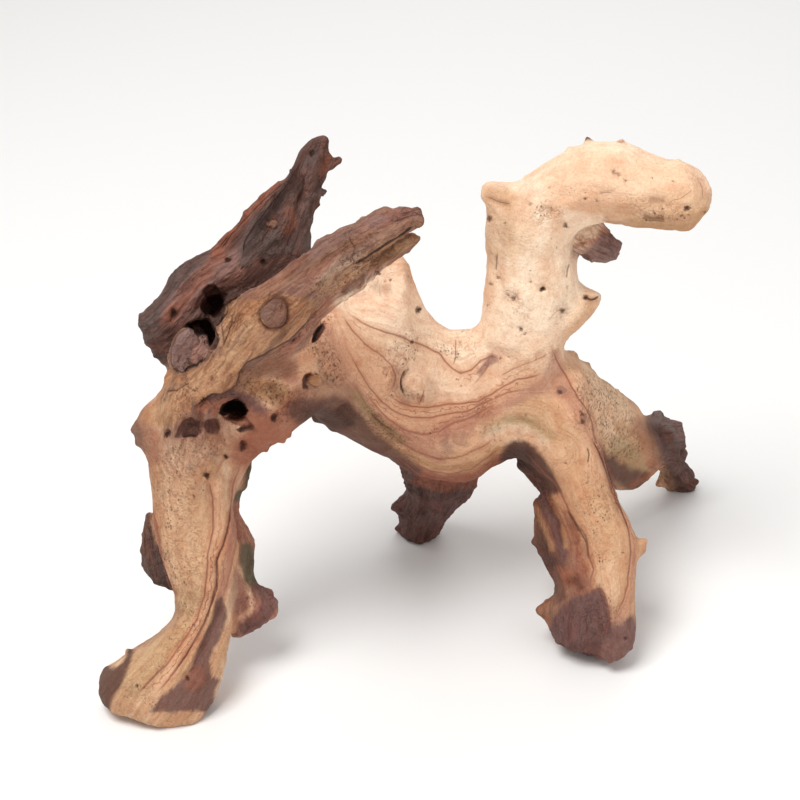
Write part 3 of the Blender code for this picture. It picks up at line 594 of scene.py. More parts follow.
# Knots: (right, down, radius in steps, height in mm, depth of the rim in mm)
KNOTS = (
    (274, 313, 14, 2.6, 2.6),
    (461, 438, 9, 1.0, 0.5),
    (412, 384, 10, 3.4, 0.0),
    (418, 395, 6, 2.0, 0.0),
    (315, 380, 6, 2.4, 1.4),
    (272, 224, 5, 1.6, 0.8),
    (561, 391, 6, 1.0, 0.3),
    (582, 418, 6, 1.0, 0.3),
    (577, 537, 5, 1.4, 0.6),
    (581, 557, 4, 1.2, 0.4),
    (208, 466, 8, 1.0, 0.2),
    (413, 341, 4, 0.8, 0.0),
    (139, 428, 8, 1.5, 0.0),
    (665, 405, 5, 1.2, 0.2),
)

# Knots whose wood has a tone of its own: (right, down, radius in steps, tone, strength)
STAINED_KNOTS = (
    (275, 313, 14, "violet", 0.7),
    (461, 438, 8, "bark", 0.5),
    (315, 380, 5, "honey", 0.8),
    (420, 398, 4.5, "rust", 0.6),
    (272, 224, 4, "bark", 0.7),
    (561, 390, 4.5, "mauve", 0.6),
    (583, 417, 4, "mauve", 0.5),
    (577, 538, 4, "rust", 0.6),
)

# Patches with an edge of their own that stand off the surface or lie sunk in it:
# (height in mm, tone, strength of the tone, outline)
PATCHES = (
    (4.0, "ash", 0.95, ((171, 362), (172, 349), (178, 335), (189, 327), (198, 323), (202, 327),
        (206, 332), (208, 339), (209, 350), (206, 358), (201, 360), (196, 364), (190, 364), (184, 372),
        (176, 370))),
    (1.8, "rose", 0.35, ((192, 350), (196, 340), (204, 334), (208, 340), (209, 350), (206, 358),
        (201, 360), (196, 364), (190, 362))),
    (-2.2, "mauve", 0.8, ((174, 438), (178, 428), (184, 420), (192, 418), (198, 424), (202, 433),
        (196, 436), (186, 437))),
    (-1.6, "mauve", 0.7, ((203, 424), (208, 419), (215, 421), (220, 428), (217, 434), (208, 433))),
    # The dark in the two slab holes is painted shade
    (-3.5, "umber", 0.95, ((203, 291), (208, 285), (215, 285), (219, 290), (221, 296), (224, 303),
        (225, 310), (220, 316), (213, 318), (209, 313), (213, 306), (207, 300))),
    (-4.0, "umber", 0.95, ((187, 325), (194, 321), (203, 320), (210, 322), (216, 330), (220, 340),
        (216, 348), (210, 350), (209, 340), (205, 330), (198, 324), (192, 329))),
    # The dark at the top of the cave is painted shade
    (-5.0, "char", 0.95, ((219, 413), (223, 405), (229, 401), (238, 400), (244, 404), (247, 410),
        (245, 415), (238, 412), (230, 412), (224, 416))),
    (-2.0, "rust", 0.8, ((224, 418), (232, 413), (240, 413), (247, 418), (254, 427), (246, 428),
        (234, 424))),
    # A painted shadow under the cave's shelf
    (-3.0, "char", 0.8, ((236, 429), (244, 427), (254, 428), (250, 431), (240, 432))),
    (-3.0, "violet", 0.9, ((312, 343), (313, 334), (318, 327), (324, 322), (325, 328), (320, 336),
        (316, 342))),
    (-2.0, "umber", 0.8, ((303, 388), (302, 380), (306, 374), (312, 372), (309, 378), (307, 384),
        (309, 389))),
)

# The noises that wear and tone the wood: width in mm and seed
NOISES = {
    "wander_right": (6, 1),
    "wander_down": (6, 2),
    "tone_right": (10, 3),
    "tone_down": (10, 4),
    "pocks": (5, 5),
    "ripples": (12, 8),
    "swells": (32, 9),
    "rolls": (18, 10),
    "dents": (10, 12),
    "nubs": (5.5, 23),
    "carry_x": (20, 41),
    "carry_y": (20, 42),
    "carry_z": (20, 43),
    "rot": (30, 51),
    "chips": (9, 61),
}
# How high, in mm, the weather's marks stand off the skin, each by the noise that shapes it
WEATHERING = {
    "nubs": 2.4,
    "pocks": -1.5,
    "chips": -0.8,
    "dents": -2.0,
    "rolls": 0.9,
    "ripples": 0.5,
    "swells": 1.3,
}

# Thorns and nubs and, with a negative height, bites out of an edge: (right, down, radius and height in mm)
THORNS = (
    (588, 139, 2.6, 4.4), (621, 142, 2.2, 2.2), (570, 150, 2.4, 1.8), (678, 161, 2.2, 1.4),
    (691, 168, 2.4, 1.2), (700, 176, 6.0, -1.6), (525, 174, 2.4, 1.2), (486, 186, 5.0, -2.2),
    (503, 186, 5.0, -1.6), (421, 402, 2.2, 3.4), (424, 392, 2.0, 1.6), (208, 262, 2.6, 1.6),
    (188, 262, 8.0, -2.2), (174, 276, 2.6, 1.4), (236, 222, 9.0, -1.8), (262, 200, 9.0, -2.0),
    (247, 214, 2.2, 1.8), (280, 184, 2.2, 1.4), (306, 146, 4.0, -2.6), (324, 140, 4.0, 3.4),
    (338, 160, 2.2, 3.0), (326, 192, 2.4, 3.4), (318, 205, 2.2, 2.4), (322, 200, 2.0, -2.4),
    (331, 176, 3.0, -2.0), (314, 214, 2.6, -2.0), (320, 242, 6.0, 4.0), (357, 221, 9.0, -1.8),
    (340, 229, 2.2, 1.2), (386, 207, 3.0, 1.6), (399, 209, 2.2, 1.4), (420, 210, 4.0, 3.4),
    (423, 222, 2.6, 2.4), (412, 246, 5.0, -2.2), (420, 232, 2.2, -2.0), (412, 236, 2.2, 1.8),
    (137, 444, 3.0, 2.0), (134, 430, 2.6, 1.6), (148, 400, 8.0, -2.4), (164, 376, 5.0, 3.2),
    (144, 340, 4.0, 2.0), (148, 330, 2.4, -2.4), (163, 362, 4.0, -1.8), (141, 318, 2.4, 1.2),
    (315, 420, 5.0, 3.4), (332, 428, 5.0, 2.4), (297, 429, 5.0, -2.8), (282, 440, 2.4, 2.6),
    (272, 446, 2.4, -2.0), (267, 452, 2.4, 2.2), (290, 436, 2.4, 1.6), (258, 452, 2.2, 1.8),
    (245, 487, 4.0, 2.2), (243, 512, 6.0, -2.0), (252, 545, 4.0, 1.6), (264, 584, 4.0, -2.2),
    (272, 592, 2.6, 2.0), (276, 602, 2.6, 2.0), (270, 612, 2.6, -1.4), (248, 632, 5.0, -2.2),
    (147, 514, 3.0, 3.2), (150, 526, 2.6, -1.4), (144, 552, 3.0, 1.2), (150, 586, 3.0, 1.4),
    (128, 652, 2.6, 3.2), (115, 661, 6.0, -2.4), (122, 656, 2.2, -1.6), (150, 640, 8.0, -1.4),
    (405, 486, 6.0, -2.8), (396, 507, 4.0, 3.0), (398, 528, 3.0, 2.2), (402, 518, 3.0, -2.0),
    (418, 541, 5.0, 2.0), (460, 508, 7.0, -2.6), (444, 526, 4.0, -1.6), (470, 492, 2.6, 1.4),
    (497, 461, 7.0, -3.6), (518, 466, 5.0, 3.0), (533, 479, 5.0, -3.4), (536, 504, 5.0, 3.0),
    (536, 520, 3.0, -1.4), (535, 541, 3.6, 4.0), (540, 552, 3.0, 1.6), (549, 568, 5.0, -3.2),
    (550, 594, 4.0, -3.6), (540, 610, 3.6, 3.8), (548, 622, 4.0, -1.8), (556, 640, 3.0, 2.0),
    (572, 650, 4.0, -1.8), (590, 655, 2.6, 1.6), (596, 661, 2.4, 1.8), (604, 660, 2.4, -1.6),
    (610, 661, 2.6, 1.6), (622, 657, 3.0, -1.6), (631, 648, 3.0, 1.4), (622, 508, 7.0, -1.8),
    (642, 543, 3.0, 4.4), (637, 556, 3.0, -2.2), (575, 353, 5.0, 2.8), (590, 362, 2.4, 1.6),
    (604, 372, 2.4, -1.4), (620, 388, 2.4, 1.4), (656, 415, 3.0, 1.6), (648, 414, 4.0, -1.8),
    (668, 416, 3.0, -1.4), (680, 424, 4.0, 3.4), (683, 434, 2.4, 1.6), (685, 452, 6.0, -4.0),
    (645, 477, 7.0, -5.0), (662, 480, 4.0, 6.0), (679, 491, 5.0, -3.6), (695, 482, 3.6, 3.6),
    (688, 470, 3.0, 1.6), (584, 256, 4.0, -2.8), (592, 258, 2.4, 2.6), (604, 256, 2.4, 2.0),
    (598, 258, 2.4, -1.6), (619, 244, 3.0, 2.0), (591, 257, 2.0, 1.0),
)

# Holes, pocks and worm marks: (right, down, radius in steps, depth in mm). Each gets painted shade in its
# hollow, darker for a deeper one
PITS = (
    (174, 314, 4.2, 5.0), (228, 260, 3.4, 4.0), (264, 263, 3.0, 4.0), (269, 222, 2.0, 2.0),
    (312, 153, 3.4, 4.0), (167, 434, 4.0, 4.0), (226, 457, 2.6, 3.0), (207, 476, 3.6, 3.0),
    (274, 418, 3.8, 4.0), (243, 447, 4.2, 5.0), (212, 379, 1.8, 1.5), (293, 340, 1.8, 1.5),
    (379, 274, 2.6, 2.5), (390, 280, 1.8, 1.2), (384, 281, 1.4, 1.0), (419, 310, 3.6, 3.0),
    (412, 342, 2.6, 2.0), (418, 338, 2.0, 1.5), (500, 359, 1.8, 1.0), (526, 415, 1.5, 1.0),
    (566, 463, 1.6, 1.2), (560, 392, 2.8, 2.0), (582, 414, 2.6, 2.0), (583, 422, 2.8, 2.0),
    (543, 289, 3.0, 3.5), (531, 282, 1.5, 1.2), (513, 299, 3.0, 1.2), (508, 295, 2.0, 0.8),
    (521, 329, 2.8, 2.0), (525, 334, 2.0, 1.5), (568, 287, 1.8, 1.0), (563, 311, 2.6, 1.5),
    (498, 278, 2.2, 1.2), (491, 284, 2.0, 1.2), (488, 305, 1.8, 1.0), (586, 297, 3.0, 2.0),
    (585, 199, 1.7, 1.5), (585, 193, 1.2, 1.0), (566, 226, 3.0, 2.2), (549, 188, 1.4, 1.0),
    (614, 171, 2.0, 0.8), (619, 175, 1.8, 0.8), (626, 181, 1.5, 1.0), (652, 178, 1.4, 1.0),
    (673, 181, 1.3, 1.0), (687, 208, 3.4, 2.5), (653, 212, 2.0, 1.0), (644, 209, 1.2, 0.8),
    (631, 214, 1.3, 0.8), (663, 216, 1.3, 0.8), (597, 201, 1.6, 0.8), (489, 219, 3.0, 2.5),
    (505, 224, 2.0, 1.0), (557, 248, 1.6, 0.8), (530, 204, 2.6, 0.8), (137, 686, 2.2, 2.0),
    (188, 678, 2.6, 2.0), (175, 578, 1.8, 1.2), (614, 405, 1.5, 1.2), (626, 638, 2.0, 1.5),
    (587, 613, 1.5, 1.0), (574, 427, 1.5, 0.8), (587, 483, 1.8, 0.8), (589, 515, 1.8, 0.8),
    (613, 552, 1.6, 0.8), (623, 553, 1.6, 0.8), (441, 278, 1.5, 0.8), (509, 357, 1.5, 0.8),
    (242, 268, 2.0, 1.0), (196, 308, 2.0, 1.0), (705, 212, 2.2, 1.2), (320, 186, 2.0, 1.5),
    (336, 160, 1.8, 1.2), (460, 342, 1.6, 1.0), (430, 432, 1.3, 0.8), (480, 448, 1.4, 0.8),
)

# Wood that worms and rot have opened: (radius in steps, strength, middle line)
WORMY = (
    (14, 1.0, ((258, 386), (276, 390), (288, 398))),
    (12, 1.0, ((322, 350), (330, 364), (334, 376))),
    (10, 0.8, ((366, 414), (384, 430), (396, 440))),
    (9, 0.8, ((540, 214), (556, 212))),
    (24, 0.6, ((172, 470), (178, 520), (184, 570))),
    (12, 0.5, ((196, 590), (180, 640), (150, 670))),
    (14, 0.8, ((318, 288), (346, 272), (378, 254))),
    (8, 0.7, ((234, 314), (230, 336))),
    (22, 0.9, ((596, 392), (616, 424), (622, 444))),
    (10, 0.6, ((582, 412), (584, 424))),
    (8, 0.5, ((512, 296), (524, 312))),
    (10, 0.5, ((560, 310), (562, 322))),
    (12, 0.4, ((590, 470), (600, 520), (606, 560))),
    (10, 0.7, ((150, 398), (170, 386))),
    (10, 0.5, ((630, 200), (650, 214), (684, 212))),
)


def linear(code):
    """A colour written in sRGB, as Blender's shaders want it."""
    parts = [int(code[i : i + 2], 16) / 255 for i in (1, 3, 5)]
    return tuple(c / 12.92 if c <= 0.04045 else ((c + 0.055) / 1.055) ** 2.4 for c in parts)


def tone_property(name):
    code, words = TONES[name]
    return FloatVectorProperty(
        name=name.capitalize(),
        description=words,
        subtype="COLOR",
        size=3,
        min=0,
        max=1,
        default=linear(code),
    )


class DriftwoodTones(PropertyGroup):
    cream: tone_property("cream")
    shell: tone_property("shell")
    sand: tone_property("sand")
    peach: tone_property("peach")
    honey: tone_property("honey")
    rose: tone_property("rose")
    olive: tone_property("olive")
    rust: tone_property("rust")
    bark: tone_property("bark")
    ash: tone_property("ash")
    mauve: tone_property("mauve")
    violet: tone_property("violet")
    umber: tone_property("umber")
    slate: tone_property("slate")
    moss: tone_property("moss")
    char: tone_property("char")


class DriftwoodSurface(PropertyGroup):
    skin_cell: FloatProperty(
        name="Skin cell",
        description="Size of the cells that the new skin is made of",
        default=1.3 * MM,
        min=0.8 * MM,
        unit="LENGTH",
    )
    most_triangles: IntProperty(
        name="Most triangles", description="Triangles that the finished skin is thinned to", default=190000
    )
    fibre_depth: FloatProperty(
        name="Fibre depth",
        description="Depth of the furrows along the grain of the pale wood",
        default=0.35 * MM,
        unit="LENGTH",
    )
    ragged_depth: FloatProperty(
        name="Ragged depth",
        description="Depth of the furrows in the torn dark wood",
        default=1.3 * MM,
        unit="LENGTH",
    )
    vein_width: FloatProperty(
        name="Vein width", description="Width of a growth vein", default=0.9 * MM, unit="LENGTH"
    )
    crack_width: FloatProperty(
        name="Crack width", description="Width of an open crack", default=0.8 * MM, unit="LENGTH"
    )
    roughness: FloatProperty(
        name="Roughness", description="Roughness of the dry sanded wood", default=0.72, min=0, max=1
    )


class DriftwoodStage(PropertyGroup):
    floor_colour: FloatVectorProperty(
        name="Floor colour",
        description="Pale studio floor",
        subtype="COLOR",
        size=3,
        default=linear("#F4F3F1"),
    )
    key_power: FloatProperty(
        name="Key light", description="Large soft light from above on the left", default=45
    )
    fill_power: FloatProperty(name="Fill light", description="Soft light from the right", default=12)
    sky_strength: FloatProperty(name="Room light", description="Even light from all round", default=0.42)


def only_select(piece):
    bpy.ops.object.select_all(action="DESELECT")
    piece.select_set(True)
    bpy.context.view_layer.objects.active = piece


def apply_modifier(piece, kind, **settings):
    """Adds a modifier with these settings and applies it."""
    modifier = piece.modifiers.new(kind.title(), kind)
    for name, value in settings.items():
        setattr(modifier, name, value)
    only_select(piece)
    bpy.ops.object.modifier_apply(modifier=modifier.name)


def view_axes():
    """The sheet's way of looking, its upward way and its eye."""
    look = Vector((0, math.cos(VIEW_TILT), -math.sin(VIEW_TILT)))
    rise = Vector((0, math.sin(VIEW_TILT), math.cos(VIEW_TILT)))
    return look, rise, AIM - look * VIEW_DISTANCE


def on_sheet(points):
    """Where points in space show on the sheet, as (right, down)."""
    look, rise, eye = (np.array(v) for v in view_axes())
    ray = points - eye
    scale = VIEW_DISTANCE / (ray @ look) / SHEET_STEP
    return np.stack([SHEET_MIDDLE + ray[:, 0] * scale, SHEET_MIDDLE - (ray @ rise) * scale], 1)


def off_sheet(right, down, back):
    """The point in space that shows at this place on the sheet and lies this far back."""
    look, rise, eye = view_axes()
    side = Vector(((right - SHEET_MIDDLE) * SHEET_STEP, 0, 0))
    ray = look * VIEW_DISTANCE + side + rise * (SHEET_MIDDLE - down) * SHEET_STEP
    return eye + ray * ((AIM.y + back * MM - eye.y) / ray.y)


def points_of(mesh):
    flat = np.empty(len(mesh.vertices) * 3, np.float32)
    mesh.vertices.foreach_get("co", flat)
    return flat.reshape(-1, 3).astype(float)


def normals_of(mesh):
    flat = np.empty(len(mesh.vertices) * 3, np.float32)
    mesh.vertices.foreach_get("normal", flat)
    return flat.reshape(-1, 3).astype(float)


def move_points(mesh, points):
    mesh.vertices.foreach_set("co", points.astype(np.float32).ravel())
    mesh.update()


def noise_at(places, seed):
    """Smooth gradient noise, mostly from -0.7 to 0.7, at each row of places."""
    cell = np.floor(places).astype(np.int64)
    part = places - cell
    ease = part**3 * (part * (part * 6 - 15) + 10)
    total = np.zeros(len(places))
    for corner in itertools.product((0, 1), repeat=3):
        x, y, z = (cell + corner).T
        mixed = (x * 73856093) ^ (y * 19349663) ^ (z * 83492791) ^ ((seed + 1) * 40503161)
        mixed = (mixed ^ (mixed >> 13)) * 1274126177 & 0x7FFFFFFF
        turn, tip = (mixed & 1023) / 163.0, ((mixed >> 10) & 1023) / 511.5 - 1
        flat = np.sqrt(1 - tip**2)
        slope = np.stack([np.cos(turn) * flat, np.sin(turn) * flat, tip], 1)
        weight = np.where(corner, ease, 1 - ease).prod(1)
        total += weight * (slope * (part - corner)).sum(1)
    return total * 1.6


def noise_on(points, name):
    """One of the named noises, at each point."""
    wide, seed = NOISES[name]
    return noise_at(points / (wide * MM), seed)


def smoothstep(low, high, values):
    t = np.clip((values - low) / (high - low), 0, 1)
    return t * t * (3 - 2 * t)


def near_line(places, line):
    """How far each place is from a line, with a sign that is positive on the line's left as drawn,
    and how far along the line its nearest point lies, from 0 to 1."""
    line = np.array(line, float)
    best = np.full(len(places), 1e9)
    side = np.ones(len(places))
    along = np.zeros(len(places))
    for i, (start, end) in enumerate(zip(line[:-1], line[1:])):
        way = end - start
        share = np.clip(((places - start) @ way) / (way @ way), 0, 1)
        off = places - start - share[:, None] * way
        far = np.hypot(off[:, 0], off[:, 1])
        closer = far < best
        best[closer] = far[closer]
        turn = way[0] * off[:, 1] - way[1] * off[:, 0]
        side[closer] = np.where(turn[closer] <= 0, 1.0, -1.0)
        along[closer] = (i + share[closer]) / (len(line) - 1)
    return best * side, along


def around(places, line, reach):
    """Which places lie in the box round a line, widened by this reach."""
    line = np.array(line, float)
    low, high = line.min(0) - reach, line.max(0) + reach
    return np.flatnonzero(((places > low) & (places < high)).all(1))


class Grain:
    """Where each point lies in the grain of the limbs round it."""

    def __init__(self, points):
        self.limbs = list(GRAIN)
        nearness, places = [], []
        for start, line in GRAIN.values():
            near, place = self.of_limb(points, start, line)
            nearness.append(near)
            places.append(place)
        weight = np.stack(nearness, 1) ** -LIMB_SHARPNESS
        self.share = weight / weight.sum(1, keepdims=True)
        self.places = np.stack(places, 1)
        self.blended = (self.places * self.share[:, :, None]).sum(1)

    @staticmethod
    def of_limb(points, start, line):
        """How near the limb's middle line each point is, in radii, and its place across and along it."""
        middles = np.array([off_sheet(*station[:3]) for station in line])
        radii = np.array([station[3] * SHEET_STEP for station in line])
        best = np.full(len(points), 1e9)
        place = np.zeros((len(points), 3))
        run = start * MM
        side = Vector((0, 0, 1))
        for a, b, wide, wider in zip(middles[:-1], middles[1:], radii[:-1], radii[1:]):
            way = b - a
            length = np.linalg.norm(way)
            ahead = Vector(way / length)
            side = (side - ahead * side.dot(ahead)).normalized()
            third = ahead.cross(side)
            share = np.clip(((points - a) @ way) / length**2, 0, 1)
            off = points - a - share[:, None] * way
            near = np.linalg.norm(off, axis=1) / (wide + (wider - wide) * share)
            closer = near < best
            best[closer] = near[closer]
            across = np.stack([off @ np.array(side), off @ np.array(third), run + share * length], 1)
            place[closer] = across[closer]
            run += length
        return np.maximum(best, 0.05), place

    def of(self, *names):
        """How much each point belongs to these limbs."""
        return self.share[:, [self.limbs.index(name) for name in names]].sum(1)

    def noise(self, width, stretch, seed):
        """Noise that runs along the grain, this wide and this many times longer."""
        scale = np.array([1 / width, 1 / width, 1 / (width * stretch)])
        total = np.zeros(len(self.share))
        for i in range(len(self.limbs)):
            mine = np.flatnonzero(self.share[:, i] > 0.03)
            if len(mine):
                values = noise_at(self.places[mine, i] * scale, seed + i)
                total[mine] += values * self.share[mine, i]
        return total


def seen_from_front(mesh, points, normals):
    """1 where a point shows on the sheet, 0 where the wood hides it, with soft edges."""
    eye = Vector(view_axes()[2])
    tree = BVHTree.FromPolygons(
        [Vector(p) for p in points], [tuple(f.vertices) for f in mesh.polygons], all_triangles=False
    )
    way = np.array(eye) - points
    way /= np.linalg.norm(way, axis=1, keepdims=True)
    facing = (way * normals).sum(1)
    shown = np.zeros(len(points))
    for i in np.flatnonzero(facing > FACING[0]):
        start = Vector(points[i] + normals[i] * RAY_LIFT)
        hit = tree.ray_cast(start, Vector(way[i]), RAY_REACH)
        shown[i] = hit[0] is None
    return shown * smoothstep(*FACING, facing)


def flow_at(sheet):
    """The level of the growth layer at each place on the sheet: a thin plate bent through the veins
    and the flow lines."""
    lines = [(level, line) for level, _, line in VEINS] + list(FLOWS)
    spots = np.array([spot for _, line in lines for spot in line], float) / PLATE_UNIT
    levels = np.array([level for level, line in lines for _ in line])

    def bend(places):
        far = ((places[:, None] - spots) ** 2).sum(2) + 1e-9
        return far * np.log(far)

    count = len(spots)
    flat = np.column_stack([np.ones(count), spots])
    system = np.block([[bend(spots) + PLATE_GIVE * np.eye(count), flat], [flat.T, np.zeros((3, 3))]])
    answer = np.linalg.solve(system, np.concatenate([levels, np.zeros(3)]))
    level = [
        bend(part) @ answer[:count] + answer[count] + part @ answer[count + 1 :]
        for part in np.array_split(sheet / PLATE_UNIT, max(1, len(sheet) // PLATE_BATCH))
    ]
    return np.concatenate(level)


class Skin:
    """The points of a mesh, with what carving and toning need to know about each."""

    def __init__(self, mesh):
        self.points, self.normals = points_of(mesh), normals_of(mesh)
        self.grain = Grain(self.points)
        self.shown = seen_from_front(mesh, self.points, self.normals)
        wander = np.stack([noise_on(self.points, name) for name in ("wander_right", "wander_down")], 1)
        self.sheet = on_sheet(self.points) + wander * 0.8
        self.flow = flow_at(self.sheet)
        self.torn = torn_wood(self.grain, self.points)
        self.plain = self.grain.of("neck", "head", "chin", "rear_limb")
        self.wormy = worminess(self)

    def layers(self, per_level, length, seed):
        """Noise that runs along the growth layers: this many waves to a level, and about this long."""
        places = self.points / length
        places[:, 0] += self.flow * per_level
        return noise_at(places, seed)


def feature_relief(skin):
    """How far the lips, ridges, cracks, knots, patches and holes stand off the skin."""
    sheet, shown = skin.sheet, skin.shown
    height = np.zeros(len(sheet))
    for tall, wide, line in LIPS:
        near = around(sheet, line, wide * 2.5)
        off, along = near_line(sheet[near], line)
        ends = smoothstep(0, 0.12, along) * smoothstep(1, 0.88, along)
        raised = np.exp(-np.maximum(off, 0) / wide) * smoothstep(-0.6, 0.6, off)
        sunk = np.exp(np.minimum(off, 0) / (wide * 0.5)) * smoothstep(0.6, -0.6, off)
        height[near] += (raised * tall - sunk * tall * 0.6) * ends * shown[near]
    for tall, wide, line in RIDGES:
        near = around(sheet, line, wide * 2.5)
        off, along = near_line(sheet[near], line)
        ends = smoothstep(0, 0.2, along) * smoothstep(1, 0.8, along)
        height[near] += tall * np.exp(-((off / wide) ** 2)) * ends * shown[near]
    for strength, line in CRACKS:
        near = around(sheet, line, 5)
        off, along = near_line(sheet[near], line)
        ends = smoothstep(0, 0.1, along) * smoothstep(1, 0.9, along)
        deep, wide = CRACK_GROOVE
        height[near] -= strength * deep * np.exp(-((off / wide) ** 2)) * ends * shown[near]
    for _, strength, line in VEINS:
        near = around(sheet, line, 5)
        off, _ = near_line(sheet[near], line)
        deep, wide = VEIN_GROOVE
        height[near] -= strength * deep * np.exp(-((off / wide) ** 2)) * shown[near]
    for right, down, radius, tall, rim in KNOTS:
        far = uneven_round(sheet, right, down, radius)
        near = np.flatnonzero(far < 2)
        dome = np.sqrt(np.clip(1 - far[near] ** 2, 0, 1)) * tall
        ring = np.exp(-(((far[near] - 1.08) / 0.16) ** 2)) * rim
        height[near] += (dome - ring) * shown[near]
    for tall, _, _, outline in PATCHES:
        near = around(sheet, outline, 4)
        height[near] += tall * inside(sheet[near], outline, 1.0) * shown[near]
    for right, down, radius, deep in PITS:
        far = uneven_round(sheet, right, down, radius)
        near = np.flatnonzero(far < 2)
        height[near] -= deep * np.exp(-(far[near] ** 2) * 1.4) * shown[near]
    return height * MM


def uneven_round(sheet, right, down, radius):
    """How far each place is, in radii, from the middle of a round that is out of true, a small one most."""
    off_right, off_down = sheet[:, 0] - right, sheet[:, 1] - down
    turn = np.arctan2(off_down, off_right)
    lobes = ((0.16, 2, right), (0.10, 3, down), (0.06, 5, right))
    bumps = sum(size * np.sin(count * turn + start) for size, count, start in lobes)
    return np.hypot(off_right, off_down) / (radius * (1 + bumps * min(1, 4 / radius)))


def thorn_relief(skin):
    """How far the thorns stand off the skin. Each stands where the skin shows nearest to its place."""
    height = np.zeros(len(skin.points))
    for right, down, radius, tall in THORNS:
        off = np.hypot(skin.sheet[:, 0] - right, skin.sheet[:, 1] - down) + 20 * (skin.shown < 0.02)
        foot = skin.points[off.argmin()]
        far = np.linalg.norm(skin.points - foot, axis=1) / (radius * MM)
        height += tall * MM * np.exp(-(far**2))
    return height


def weathered_relief(skin, surface):
    """How far the weather has worn the skin: furrows along the layers, and ragged fibre where torn."""
    torn = skin.torn
    fine = skin.layers(5, 30 * MM, 11) + 0.5 * skin.layers(11, 22 * MM, 13)
    coarse = skin.grain.noise(4 * MM, 6, 17) + 0.9 * skin.grain.noise(9 * MM, 3, 19)
    height = fine * surface.fibre_depth * (1 - torn) + coarse * surface.ragged_depth * torn
    marks = {name: noise_on(skin.points, name) for name in WEATHERING}
    marks["nubs"] = np.clip(marks["nubs"] - 0.25, 0, 1) * torn
    marks["pocks"] = np.clip(marks["pocks"] - 0.4, 0, 1) * (0.3 + 0.7 * torn)
    marks["chips"] = smoothstep(0.15, 0.3, marks["chips"]) * skin.wormy
    marks["dents"] = np.clip(marks["dents"] - 0.2, 0, 1) * skin.plain
    marks["rolls"] = marks["rolls"] * skin.plain
    return height + sum(WEATHERING[name] * MM * mark for name, mark in marks.items())


def depth_inside(places, outline):
    """How far each place lies inside an outline, negative outside it."""
    closed = list(outline) + [outline[0]]
    off, _ = near_line(places, closed)
    x, y = places[:, 0], places[:, 1]
    within = np.zeros(len(places), bool)
    for (x0, y0), (x1, y1) in zip(closed[:-1], closed[1:]):
        crosses = (y0 > y) != (y1 > y)
        reach = x0 + (y - y0) * (x1 - x0) / ((y1 - y0) or 1e-9)
        within ^= crosses & (x < reach)
    return np.where(within, np.abs(off), -np.abs(off))


def inside(places, outline, soft):
    """1 inside an outline and 0 outside it, with an edge this soft."""
    return smoothstep(-soft, soft, depth_inside(places, outline))


def torn_wood(grain, points):
    """How ragged and fibrous the wood is: the dark limbs, the horn and the broken ends."""
    torn = grain.of("slab", "horn", "mid_foot", "leg_flake", "chin")
    torn = torn + 0.6 * grain.of("leg_fin", "front_strand")
    tips = smoothstep(0.055, 0.0, points[:, 2]) * 0.5
    claw = smoothstep(0.17, 0.21, points[:, 0]) * grain.of("rear_limb")
    return np.clip(torn + tips + claw, 0, 1)


def tones_of(tones, skin):
    """The wood tone at each point, as a linear colour, and the limbs' own tones without the washes."""
    table = {name: np.array(getattr(tones, name)) for name in TONES}
    grain = skin.grain
    patch = smoothstep(-0.1, 0.4, grain.noise(26 * MM, 2.5, 31))[:, None]
    streak = smoothstep(0.1, 0.5, skin.layers(3, 0.05, 37))[:, None] * 0.5
    base = np.zeros((len(skin.points), 3))
    for i, limb in enumerate(grain.limbs):
        first, second = (table[name] for name in LIMB_TONES[limb])
        mixed = first + (second - first) * np.maximum(patch * 0.8, streak)
        base += mixed * grain.share[:, i : i + 1]
    tone = base.copy()
    wander = np.stack([noise_on(skin.points, name) for name in ("tone_right", "tone_down")], 1)
    sheet = on_sheet(skin.points) + wander * 2.5
    for name, radius, strength, limbs, line in WASHES:
        near = around(sheet, line, radius * 1.6)
        off, _ = near_line(sheet[near], line)
        weight = strength * smoothstep(1.3, 0.5, np.abs(off) / radius)
        if limbs:
            weight = weight * smoothstep(0.15, 0.6, grain.of(*limbs.split())[near])
        tone[near] += (table[name] - tone[near]) * weight[:, None]
    sheet = on_sheet(skin.points) + wander * 1.2
    for name, strength, soft, outline in AREAS:
        near = around(sheet, outline, soft)
        weight = strength * inside(sheet[near], outline, soft) * (skin.shown[near] > 0.02)
        tone[near] += (table[name] - tone[near]) * weight[:, None]
    for _, name, strength, outline in PATCHES:
        near = around(skin.sheet, outline, 3)
        weight = strength * inside(skin.sheet[near], outline, 0.8) * (skin.shown[near] > 0.02)
        tone[near] += (table[name] - tone[near]) * weight[:, None]
    for right, down, radius, name, strength in STAINED_KNOTS:
        near = np.flatnonzero(uneven_round(skin.sheet, right, down, radius) < 1.05)
        tone[near] += (table[name] - tone[near]) * (strength * skin.shown[near])[:, None]
    return tone, base


def spread_to_back(skin, tone, base):
    """Carries the front's tones round to the hidden wood, and lets them fade into each limb's own."""
    points, shown = skin.points, skin.shown
    seen = np.flatnonzero(shown > SEEN)
    tree = KDTree(len(seen))
    for i in seen:
        tree.insert(Vector(points[i]), i)
    tree.balance()
    wander = np.stack([noise_on(points, name) for name in ("carry_x", "carry_y", "carry_z")], 1)
    wander *= CARRY_WANDER
    out = tone.copy()
    for i in np.flatnonzero(shown <= SEEN):
        _, nearest, far = tree.find(Vector(points[i] + wander[i]))
        keep = math.exp(-((far / CARRY) ** 2))
        hidden = tone[nearest] * keep + base[i] * (1 - keep)
        out[i] = hidden + (tone[i] - hidden) * shown[i] / SEEN
    return out


